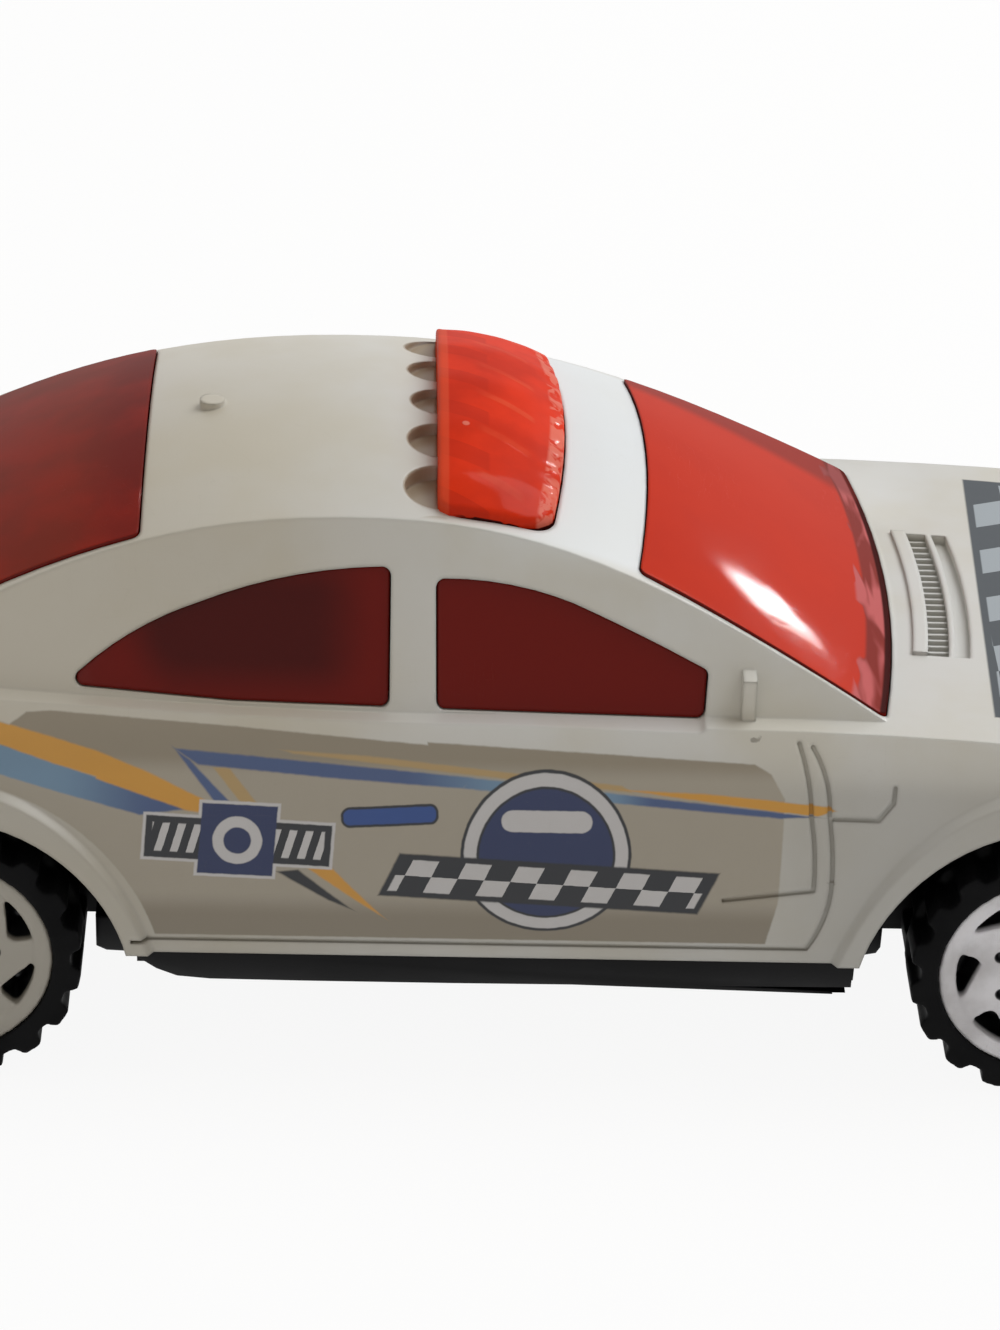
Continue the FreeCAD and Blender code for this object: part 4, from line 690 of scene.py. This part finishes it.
def make_screen_red(settings):
    """Clear red plastic with painted light: bright on upward panes over the front seats, painted shade at the
    sides, painted shade and glints at the screen's foot.
    """
    made, tree, shader, place = new_material("clear_red")
    point = in_millimetres(place)
    parts = parts_of(point)
    facing = parts_of(add_node(tree, "ShaderNodeTexCoord").outputs["Normal"])
    # Panes that face upwards take the lit colours; the others take the painted shade of the side windows.
    upward = stepped(facing["Z"], 0.45, 0.7)
    grain = grained(place, 900.0, 240.0)
    lines = scratched(place, 300.0)
    front = stepped(parts["X"], *FRONT_SEATS)
    # Rear window darker towards the roof: painted shade.
    rear = blended(stepped(parts["X"], *REAR_SHELF), settings.rear, settings.rear_roof_shade)
    colour = blended(front, rear, settings.screen)
    colour = blended(times(grain["Share"], 0.3), colour, settings.lamp_deep)

    # At the screen's foot: a band of painted shade broken by painted glints.
    ahead = bowed(parts, SCREEN_BOW)
    along = vectors("MULTIPLY", point, (1.3, 0.3, 1.3))
    shard = stepped(noise(along, 0.9, 1.5, 0.4)[0], 0.44, 0.6)
    mottle = blended(shard, settings.screen_foot_shade, settings.screen_foot_glints)
    band = stepped(plus(ahead, times(shard, 0.35)), *SCREEN_FOOT)
    colour = blended(times(band, 0.8), colour, mottle)
    # A painted shadow line along the windscreen's top edge.
    keyline = stepped(ahead, *SCREEN_RIM_SHADOW)
    colour = blended(keyline, colour, settings.rim_shadow)
    # Painted shade towards the far pillar.
    far = times(stepped(parts["Y"], *FAR_PILLAR_SHADE), 0.6)
    colour = blended(times(far, front), colour, settings.screen_foot_shade)

    # A painted shadow on the side windows over the rear seats.
    behind = stepped(parts["X"], *REAR_SEATS)
    shadow = inside_round(point, *SEAT_SHADOW)
    shadow = times(behind, stepped(shadow, -1.0, 0.9))
    side = blended(times(shadow, 0.75), settings.side, settings.side_seat_shadow)
    # Painted light: upward-facing panes bright, sideways-facing panes in painted shade.
    colour = blended(upward, side, colour)
    gloss = summed(0.05, (lines, 0.3), (grain["Share"], 0.05))
    uneven = bumped(grain["Height"], 0.1, 0.1 * MM, 0.18 * MM)
    sheen = minus(0.16, times(keyline, 0.15))
    feed(tree, shader, Base_Color=colour, Roughness=0.4, IOR=1.49, Transmission_Weight=0.08, Normal=uneven,
         Specular_IOR_Level=0.0, Coat_Weight=sheen, Coat_Roughness=gloss, Coat_Normal=uneven)
    return made


def make_lamp_red(settings):
    """Bright clear red of the light bar, with painted reflections on its moulded ribs, painted glints on its
    front lip and a painted highlight on its rear edge.
    """
    made, tree, shader, place = new_material("lamp_red")
    point = in_millimetres(place)
    parts = parts_of(point)
    grain = grained(place, 900.0, 330.0)
    colour = blended(times(grain["Share"], 0.6), settings.lamp, settings.lamp_deep)
    ahead = bowed(parts, LIP_BOW)

    slanted = plus(parts["Y"], times(parts["X"], RIB_LEAN))
    turns = maths("DIVIDE", minus(slanted, RIB_START), RIB_PITCH)
    turns = minus(maths("FRACT", plus(turns, 0.5)), 0.5)
    rib = product([stepped(maths("ABSOLUTE", turns), 0.1, 0.045), stepped(parts["X"], *RIB_REAR),
                   stepped(ahead, *RIB_FRONT), stepped(grain["Share"], -0.3, 0.9, 0.6, 0.15)])
    # Pale streaks along the ribs: painted reflections.
    colour = blended(rib, colour, settings.lamp_highlight)
    block = times(stepped(turns, 0.1, 0.14), stepped(parts["X"], *BLOCK_FRONT))
    colour = blended(times(block, 0.4), colour, settings.lamp_deep)

    # Pale shards along the front lip: painted glints.
    shards = stepped(noise(point, 1.3, 2.0, 1.0)[0], 0.42, 0.52)
    lip = times(stepped(ahead, *LIP_GLINT_BAND), shards)
    colour = blended(times(lip, 0.6), colour, settings.lip_glint_and_pip)
    # A painted highlight along the rear edge.
    rear = stepped(parts["X"], *REAR_EDGE_HIGHLIGHT)
    colour = blended(times(rear, 0.5), colour, settings.lamp_highlight)
    pip = filled(inside_round(vector_of(parts["X"], z=parts["Y"]), *PIP))
    colour = blended(times(pip, 0.7), colour, settings.lip_glint_and_pip)
    # A painted shadow at the foot of the light bar's skirt, towards its front.
    foot = add_node(tree, "ShaderNodeAttribute", attribute_name="skirt").outputs["Fac"]
    foot = times(stepped(foot, 0.3, 0.8), stepped(parts["X"], *SKIRT_SHADE))
    colour = blended(foot, colour, settings.rim_shadow)

    gloss = summed(0.05, (grain["Share"], 0.06))
    height = summed(times(grain["Height"], 0.3), (pip, 0.6), (rib, 0.4))
    uneven = bumped(height, 0.3, 0.1 * MM, 0.2 * MM)
    feed(tree, shader, Base_Color=colour, Roughness=0.35, IOR=1.49, Transmission_Weight=0.08, Normal=uneven,
         Specular_IOR_Level=0.0, Coat_Weight=0.12, Coat_Roughness=gloss, Coat_Normal=uneven)
    return made


def make_tyre_rubber(settings):
    """Matt black tyre with a little dust in its notches."""
    made, tree, shader, place = new_material("tyre_black")
    grain = grained(place, 4200.0, 500.0)
    dust = times(stepped(open_air(tree, 0.7 * MM), 0.8, 0.45), grain["Share"])
    colour = blended(times(dust, 0.7), settings.rubber, settings.dust)
    gloss = summed(0.5, (grain["Share"], 0.2))
    feed(tree, shader, Base_Color=colour, Roughness=gloss, Specular_IOR_Level=0.08,
         Normal=bumped(grain["Height"], 0.35, 0.06 * MM, 0.1 * MM, 4))
    return made


def nut_holes(parts):
    """A mask of the round holes between the spokes, one to a sector of the wheel."""
    end = maths("SIGN", parts["X"])
    across = minus(parts["X"], times(end, AXLE_REACH))
    across = times(across, times(maths("SIGN", parts["Y"]), -1.0))
    up = minus(parts["Z"], AXLE_HEIGHT)
    sector = 2 * math.pi / SPOKES
    turns = maths("DIVIDE", minus(maths("ARCTAN2", up, across), NUT_TURN), sector)
    aside = minus(maths("FRACT", plus(turns, 0.5)), 0.5)
    aside = times(times(aside, sector), NUT_CIRCLE)
    out = minus(vectors("LENGTH", vector_of(across, up)), NUT_CIRCLE)
    return stepped(vectors("LENGTH", vector_of(out, aside)), *NUT_EDGE)


def make_hub_silver(settings):
    """Satin silver spokes over openings that are black at their floor, with painted shade on the rear hubs."""
    made, tree, shader, place = new_material("hub_silver")
    grain = grained(place, 5200.0, 420.0)
    lines = scratched(place, 700.0)
    depth = maths("ABSOLUTE", parts_of(place)["Y"])
    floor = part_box("front_left_hub")[1].y - settings.pocket_depth
    deep = stepped(depth, floor, floor - 0.35 * MM)
    shade = blended(grain["Share"], settings.silver, tint("C4C3C7"))
    shade = blended(times(lines, 0.4), shade, tint("77757A"))
    parts = parts_of(in_millimetres(place))
    # Painted shade: the rear hubs are darker.
    shade = blended(stepped(parts["X"], 1.0, -1.0), shade, settings.rear_hub_shade)
    colour = blended(either([deep, nut_holes(parts)]), shade, settings.pocket)
    metal = times(minus(1.0, deep), 0.08)
    gloss = summed(0.32, (grain["Share"], 0.14))
    feed(tree, shader, Base_Color=colour, Metallic=metal, Roughness=gloss,
         Normal=bumped(grain["Height"], 0.15, 0.04 * MM, 0.09 * MM))
    return made


def make_wire_steel(settings):
    """Drawn steel wire with fine rings round it."""
    made, tree, shader, place = new_material("wire_steel")
    stretched = beside("ShaderNodeMapping", {"Vector": place, "Scale": (1.0, 14.0, 1.0)}).outputs[0]
    rings = noise(stretched, 900.0, 3.0)[0]
    colour = blended(rings, settings.steel, tint("6F6F74"))
    gloss = summed(0.25, (rings, 0.2))
    feed(tree, shader, Base_Color=colour, Metallic=1.0, Roughness=gloss,
         Normal=bumped(rings, 0.2, 0.03 * MM))
    return made


def make_moulding(name, shade, pale, roughness, fine):
    """Dark moulded plastic with a fine grain and rubbed patches."""
    made, tree, shader, place = new_material(name)
    grain = grained(place, fine, 260.0)
    lines = scratched(place, 350.0)
    colour = blended(times(grain["Share"], 0.4), shade, pale)
    colour = blended(times(lines, 0.5), colour, pale)
    gloss = minus(roughness, times(grain["Share"], 0.15))
    feed(tree, shader, Base_Color=colour, Roughness=gloss, Specular_IOR_Level=0.12,
         Normal=bumped(grain["Height"], 0.3, 0.05 * MM, 0.1 * MM, 4))
    return made


# Pieces.

# How near vertices of a CAD mesh are one vertex.
WELD = 0.0004 * MM
# The grain of the skin that softened pieces get, and how often it is eased on tyres and on hubs.
SKIN_GRAIN = 0.1 * MM
TREAD_EASE = 9
SPOKE_EASE = 3


def piece_from(work, name, material):
    """An object with the mesh that has been worked on."""
    mesh = bpy.data.meshes.new(name)
    work.to_mesh(mesh)
    work.free()
    mesh.materials.append(material)
    piece = bpy.data.objects.new(name, mesh)
    bpy.context.scene.collection.objects.link(piece)
    return piece


def dressed(node, name, material, sharp=28.0):
    """A smooth copy of a CAD node that stands for it, rides on its body and has its material."""
    source = frame["nodes"][node]
    work = bmesh.new()
    work.from_mesh(source.data)
    bmesh.ops.remove_doubles(work, verts=work.verts, dist=WELD)
    limit = math.radians(sharp)
    for face in work.faces:
        face.smooth = True
    for edge in work.edges:
        edge.smooth = len(edge.link_faces) == 2 and edge.calc_face_angle(0.0) < limit
    piece = piece_from(work, name, material)
    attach(piece, source["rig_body"])
    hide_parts(node)
    return piece


def softened(piece, turns):
    """Round a moulded piece's edges all over, as worn soft plastic has them."""
    skin = piece.modifiers.new("skin", "REMESH")
    skin.mode = "VOXEL"
    skin.voxel_size = SKIN_GRAIN
    skin.use_smooth_shade = True
    ease = piece.modifiers.new("ease", "SMOOTH")
    ease.factor = 0.5
    ease.iterations = turns


def probe_of(node):
    """A tree of a CAD node's faces, for finding heights on it."""
    work = bmesh.new()
    work.from_mesh(frame["nodes"][node].data)
    tree = BVHTree.FromBMesh(work)
    work.free()
    return tree


def top_at(probe, x, y):
    return probe.ray_cast(Vector((x, y, PROBE_TOP)), Vector((0, 0, -1)))[0].z


class DressCasting(bpy.types.Operator):
    """Enamel and print the casting"""
    bl_idname = "toycar.casting"
    bl_label = "Casting"

    def execute(self, context):
        settings = context.scene.toy_casting
        make_print_group(settings)
        make_bonnet_group(settings)
        dressed("body_shell", "painted_casting", make_enamel(settings), 32.0)
        return {"FINISHED"}


class DressWindows(bpy.types.Operator):
    """Give the window moulding its clear red"""
    bl_idname = "toycar.windows"
    bl_label = "Windows"

    def execute(self, context):
        red = make_screen_red(context.scene.toy_glass)
        piece = dressed("window_insert", "window_moulding", red, 24.0)
        sheet = probe_of("window_insert")
        work = bmesh.new()
        work.from_mesh(piece.data)
        over = []
        for face in work.faces:
            x, y, _ = face.calc_center_median()
            if BAR_BACK - BAR_MARGIN < x < BAR_FRONT + BAR_MARGIN and abs(y) < BAR_HALF + BAR_MARGIN:
                top = top_at(sheet, BAR_BACK - SHEET_BEHIND, y)
                if max(vert.co.z for vert in face.verts) > top + SHEET_CLEAR:
                    over.append(face)
        bmesh.ops.delete(work, geom=over, context="FACES")
        work.to_mesh(piece.data)
        work.free()
        return {"FINISHED"}


class BuildLightBar(bpy.types.Operator):
    """Model the light bar's smooth lens, with facets along its front lip"""
    bl_idname = "toycar.light_bar"
    bl_label = "Light bar"

    def execute(self, context):
        settings = context.scene.toy_glass
        bar = probe_of("window_insert")
        work = bmesh.new()
        bmesh.ops.create_grid(work, x_segments=LENS_GRID[0], y_segments=LENS_GRID[1], size=1.0)
        inner = [vert for vert in work.verts if not vert.is_boundary]
        for vert in work.verts:
            u, v = vert.co.x, vert.co.y
            v = (1 - LENS_CROWDING) * v + LENS_CROWDING * math.sin(v * math.pi / 2)
            y = v * BAR_HALF
            front = BAR_FRONT - BAR_BOW * v * v
            ends = {-1: BAR_BACK, 1: front}
            for end, corner in BAR_CORNERS.items():
                past = max(0.0, abs(y) - BAR_HALF + corner)
                ends[end] -= end * (corner - math.sqrt(max(0.0, corner ** 2 - past ** 2)))
            x = (ends[-1] + ends[1]) / 2 + u * (ends[1] - ends[-1]) / 2
            crown_x = max(BAR_BACK + CROWN_REAR, min(x, front - CROWN_FRONT))
            crown_y = max(-BAR_SHOULDER, min(y, BAR_SHOULDER))
            fall = SIDE_FALL * abs(y - crown_y) + FRONT_FALL * max(0.0, x - crown_x)
            vert.co = Vector((x, y, top_at(bar, crown_x, crown_y) - fall))
        for _ in range(LENS_EASE):
            bmesh.ops.smooth_vert(work, verts=inner, factor=0.5, use_axis_z=True)
        for vert in work.verts:
            ahead = vert.co.x - (BAR_FRONT - BAR_BOW * (vert.co.y / BAR_HALF) ** 2)
            share = max(0.0, min(1.0, (ahead + FACET_START) / FACET_RAMP))
            wave = abs(math.sin(math.pi * vert.co.y / settings.facet_pitch))
            vert.co.z += settings.facet_height * share * (wave - 0.5)
        for drop in (SKIRT_TOP, SKIRT_DEPTH - SKIRT_TOP):
            rim = [edge for edge in work.edges if edge.is_boundary]
            for vert in bmesh.ops.extrude_edge_only(work, edges=rim)["geom"]:
                if isinstance(vert, bmesh.types.BMVert):
                    vert.co.z -= drop
        edges = [edge for edge in work.edges
                 if len(edge.link_faces) == 2 and edge.calc_face_angle(0.0) > SKIRT_ANGLE]
        bmesh.ops.bevel(work, geom=edges, offset=SKIRT_ROUND, segments=2, profile=0.5, affect="EDGES",
                        material=-1)
        skirt = work.verts.layers.float.new("skirt")
        feet = [vert for vert in work.verts if vert.is_boundary]
        for vert in feet:
            vert[skirt] = 1.0
            for edge in vert.link_edges:
                edge.other_vert(vert)[skirt] = 1.0
        bmesh.ops.recalc_face_normals(work, faces=work.faces)
        for face in work.faces:
            face.smooth = True
        piece = piece_from(work, "light_bar_lens", make_lamp_red(settings))
        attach(piece, "car")
        return {"FINISHED"}


# The base's side rail and the wall between the wheel openings, in side view and in millimetres. Each
# spans from an outer to an inner distance from the middle, and its outside leans in below RAIL_TOP.
RAIL_SIDE = [(-14.0, 5.45), (-14.0, 4.9), (-13.3, 4.35), (-12.5, 3.98), (-11.2, 3.85), (-7.7, 3.82),
             (-1.8, 3.82), (3.0, 3.85), (8.8, 3.9), (11.0, 3.82), (12.3, 3.66), (13.3, 3.58),
             (13.8, 3.66), (14.0, 3.95), (14.0, 5.45)]
WALL_SIDE = [(-15.75, 5.8), (-15.75, 4.2), (-15.35, 3.98), (-14.2, 3.92), (-12.0, 4.0), (12.0, 4.0),
             (13.8, 4.2), (15.1, 4.5), (15.25, 4.8), (15.25, 5.8)]
RAIL_TOP = 5.45
RAIL_LEAN = 0.22
RAIL_SPAN = (13.2, 11.2)
WALL_SPAN = (11.4, 9.9)
# The rounding along their outside, and the least angle that stays sharp.
RAIL_ROUND = 0.1 * MM
RAIL_SHARP = math.radians(40.0)


def base_rail(name, hand, side_view, span, material):
    """A rail or a wall of the base between the wheels, leaning in towards its foot."""
    work = bmesh.new()
    outline = [work.verts.new((x * MM, 0.0, z * MM)) for x, z in side_view]
    face = bmesh.ops.contextual_create(work, geom=outline)["faces"][0]
    bmesh.ops.extrude_face_region(work, geom=[face])
    for vert in work.verts:
        outer = vert in outline
        drop = RAIL_TOP - vert.co.z / MM
        vert.co.y = hand * MM * (span[0] - RAIL_LEAN * drop if outer else span[1])
    bmesh.ops.recalc_face_normals(work, faces=work.faces)
    rims = [edge for edge in work.edges if edge.verts[0] in outline and edge.verts[1] in outline]
    bmesh.ops.bevel(work, geom=rims, offset=RAIL_ROUND, segments=2, profile=0.5, affect="EDGES",
                    clamp_overlap=True, material=-1)
    for part in work.faces:
        part.smooth = True
    piece = piece_from(work, name, material)
    piece.data.set_sharp_from_angle(angle=RAIL_SHARP)
    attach(piece, "car")


class DressInside(bpy.types.Operator):
    """Give the seats and the base their dark plastic, and model the base's rails and walls"""
    bl_idname = "toycar.inside"
    bl_label = "Seats and base"

    def execute(self, context):
        settings = context.scene.toy_wheels
        seats = make_moulding("seat_plastic", settings.seats, tint("2E2526"), 0.55, 2400.0)
        base = make_moulding("base_plastic", settings.base, tint("121214"), 0.5, 3200.0)
        dressed("interior", "seat_moulding", seats)
        dressed("chassis", "base_moulding", base)
        for word, hand in (("left", 1.0), ("right", -1.0)):
            base_rail(word + "_base_rail", hand, RAIL_SIDE, RAIL_SPAN, base)
            base_rail(word + "_base_wall", hand, WALL_SIDE, WALL_SPAN, base)
        return {"FINISHED"}


class DressWheels(bpy.types.Operator):
    """Give the tyres, hubs and axles their finishes"""
    bl_idname = "toycar.wheels"
    bl_label = "Wheels and axles"

    def execute(self, context):
        settings = context.scene.toy_wheels
        rubber = make_tyre_rubber(settings)
        silver = make_hub_silver(settings)
        steel = make_wire_steel(settings)
        for end in ("front", "rear"):
            dressed(end + "_axle", end + "_wire", steel)
            for hand in ("left", "right"):
                word = "%s_%s" % (end, hand)
                softened(dressed(word + "_tyre", word + "_tread", rubber), TREAD_EASE)
                softened(dressed(word + "_hub", word + "_spokes", silver), SPOKE_EASE)
        return {"FINISHED"}


# The stage. The floor's radius in metres, and how much of its look is plain white to the camera.
FLOOR_RADIUS = 1.6
FLOOR_GLOW = 0.92
# The room's strength and colour as light, and as the camera and reflections see it.
ROOM_LIGHT = (0.35, (1.0, 0.93, 0.83, 1.0))
ROOM_SEEN = (1.0, (1.0, 1.0, 1.0, 1.0))
# The lamps: name, the setting with the power, place, aim, width and height in metres, and colour.
LAMPS = [
    ("overhead", "key", (0.20, 0.10, 0.31), (0.0, 0.0, 0.01), (0.28, 0.26), (0.96, 0.98, 1.0)),
    ("beside_camera", "fill", (-0.16, -0.34, 0.16), (0.0, 0.0, 0.01), (0.24, 0.2), (1.0, 0.95, 0.88)),
    ("window_glint", "window", (0.243, 0.343, 0.179), (0.011, -0.007, 0.018), (0.014, 0.036),
     (1.0, 1.0, 1.0)),
]
# The camera, fitted to the photograph: its turns in radians, the point it looks at and how far that
# is away, in millimetres, and the height of its sensor.
CAMERA_YAW = 0.0322894719
CAMERA_PITCH = 0.488808372
CAMERA_ROLL = 0.0338009382
CAMERA_TARGET = (-0.276173, -14.0, 18.6416726)
CAMERA_DISTANCE = 196.819194
SENSOR_HEIGHT = 36.0


def area_lamp(name, place, aim, size, power, colour):
    data = bpy.data.lights.new(name, "AREA")
    data.shape = "RECTANGLE"
    data.size, data.size_y = size
    data.energy = power
    data.color = colour
    lamp = bpy.data.objects.new(name, data)
    bpy.context.scene.collection.objects.link(lamp)
    lamp.location = place
    lamp.rotation_euler = (Vector(aim) - Vector(place)).to_track_quat("-Z", "Y").to_euler()


def seen_rays(tree):
    """A mask of the rays by which the camera sees a thing, straight on, reflected or through."""
    path = add_node(tree, "ShaderNodeLightPath").outputs
    return either([path["Is %s Ray" % word] for word in ("Camera", "Glossy", "Transmission")])


def make_floor_paint(settings):
    """A pale floor that the camera and gloss see as white, and that keeps the car's shadow."""
    made, tree, shader, place = new_material("pale_floor")
    grain = noise(place, 60.0, 2.0)[0]
    feed(tree, shader, Base_Color=settings.floor, Roughness=summed(0.75, (grain, 0.1)))
    seen = seen_rays(tree)
    glow = add_node(tree, "ShaderNodeEmission", {"Color": (1.0, 1.0, 1.0, 1.0), "Strength": 1.0}).outputs[0]
    mixed = beside("ShaderNodeMixShader", {0: times(seen, FLOOR_GLOW), 1: shader.outputs[0], 2: glow})
    tree.links.new(mixed.outputs[0], tree.nodes["Material Output"].inputs["Surface"])
    return made


class BuildStage(bpy.types.Operator):
    """Set the pale floor, the lamps and the camera at the photograph's angle"""
    bl_idname = "toycar.stage"
    bl_label = "Stage"

    def execute(self, context):
        settings = context.scene.toy_stage
        scene = context.scene
        work = bmesh.new()
        bmesh.ops.create_circle(work, cap_ends=True, segments=96, radius=FLOOR_RADIUS)
        piece_from(work, "floor", make_floor_paint(settings))

        world = bpy.data.worlds.new("pale_room")
        scene.world = world
        world.use_nodes = True
        tree = world.node_tree
        seen = seen_rays(tree)
        level = plus(times(seen, ROOM_SEEN[0] - ROOM_LIGHT[0]), ROOM_LIGHT[0])
        feed(tree, tree.nodes["Background"], Color=blended(seen, ROOM_LIGHT[1], ROOM_SEEN[1]),
             Strength=level)

        for name, word, place, aim, size, colour in LAMPS:
            area_lamp(name, place, aim, size, getattr(settings, word), colour)

        data = bpy.data.cameras.new("camera")
        data.sensor_fit = "VERTICAL"
        data.sensor_height = SENSOR_HEIGHT
        data.lens = settings.lens
        data.clip_start = 0.01
        camera = bpy.data.objects.new("camera", data)
        scene.collection.objects.link(camera)
        yaw, pitch, roll = CAMERA_YAW, CAMERA_PITCH, CAMERA_ROLL
        ahead = Vector((math.sin(yaw) * math.cos(pitch), math.cos(yaw) * math.cos(pitch), -math.sin(pitch)))
        right = Vector((math.cos(yaw), -math.sin(yaw), 0.0))
        up = right.cross(ahead)
        sideways = math.cos(roll) * right + math.sin(roll) * up
        upward = math.cos(roll) * up - math.sin(roll) * right
        place = (Vector(CAMERA_TARGET) - ahead * CAMERA_DISTANCE) * MM
        turn = Matrix((sideways, upward, -ahead)).transposed()
        camera.matrix_world = Matrix.Translation(place) @ turn.to_4x4()
        scene.camera = camera
        scene.view_settings.view_transform = "Standard"
        return {"FINISHED"}


class CarPanel(bpy.types.Panel):
    """Lists the car's pieces and its settings"""
    bl_label = "Toy car"
    bl_idname = "VIEW3D_PT_toy_car"
    bl_space_type = "VIEW_3D"
    bl_region_type = "UI"
    bl_category = "Toy car"

    def draw(self, context):
        layout = self.layout
        for step in STEPS:
            layout.operator(step.bl_idname)
        for word, _ in SETTINGS:
            settings = getattr(context.scene, word)
            box = layout.box()
            for name in settings.bl_rna.properties.keys():
                if name not in ("rna_type", "name"):
                    box.prop(settings, name)


SETTINGS = (("toy_casting", CastingSettings), ("toy_glass", GlassSettings), ("toy_wheels", WheelSettings),
            ("toy_stage", StageSettings))
STEPS = (DressCasting, DressWindows, BuildLightBar, DressInside, DressWheels, BuildStage)


def register():
    for word, settings in SETTINGS:
        bpy.utils.register_class(settings)
        setattr(bpy.types.Scene, word, PointerProperty(type=settings))
    for step in STEPS:
        bpy.utils.register_class(step)
    bpy.utils.register_class(CarPanel)


def unregister():
    bpy.utils.unregister_class(CarPanel)
    for step in reversed(STEPS):
        bpy.utils.unregister_class(step)
    for word, settings in reversed(SETTINGS):
        delattr(bpy.types.Scene, word)
        bpy.utils.unregister_class(settings)


def main():
    register()
    make_grain_group()
    make_scratch_group()
    bpy.ops.toycar.casting()
    bpy.ops.toycar.windows()
    bpy.ops.toycar.light_bar()
    bpy.ops.toycar.inside()
    bpy.ops.toycar.wheels()
    bpy.ops.toycar.stage()


if __name__ == "__main__":
    main()
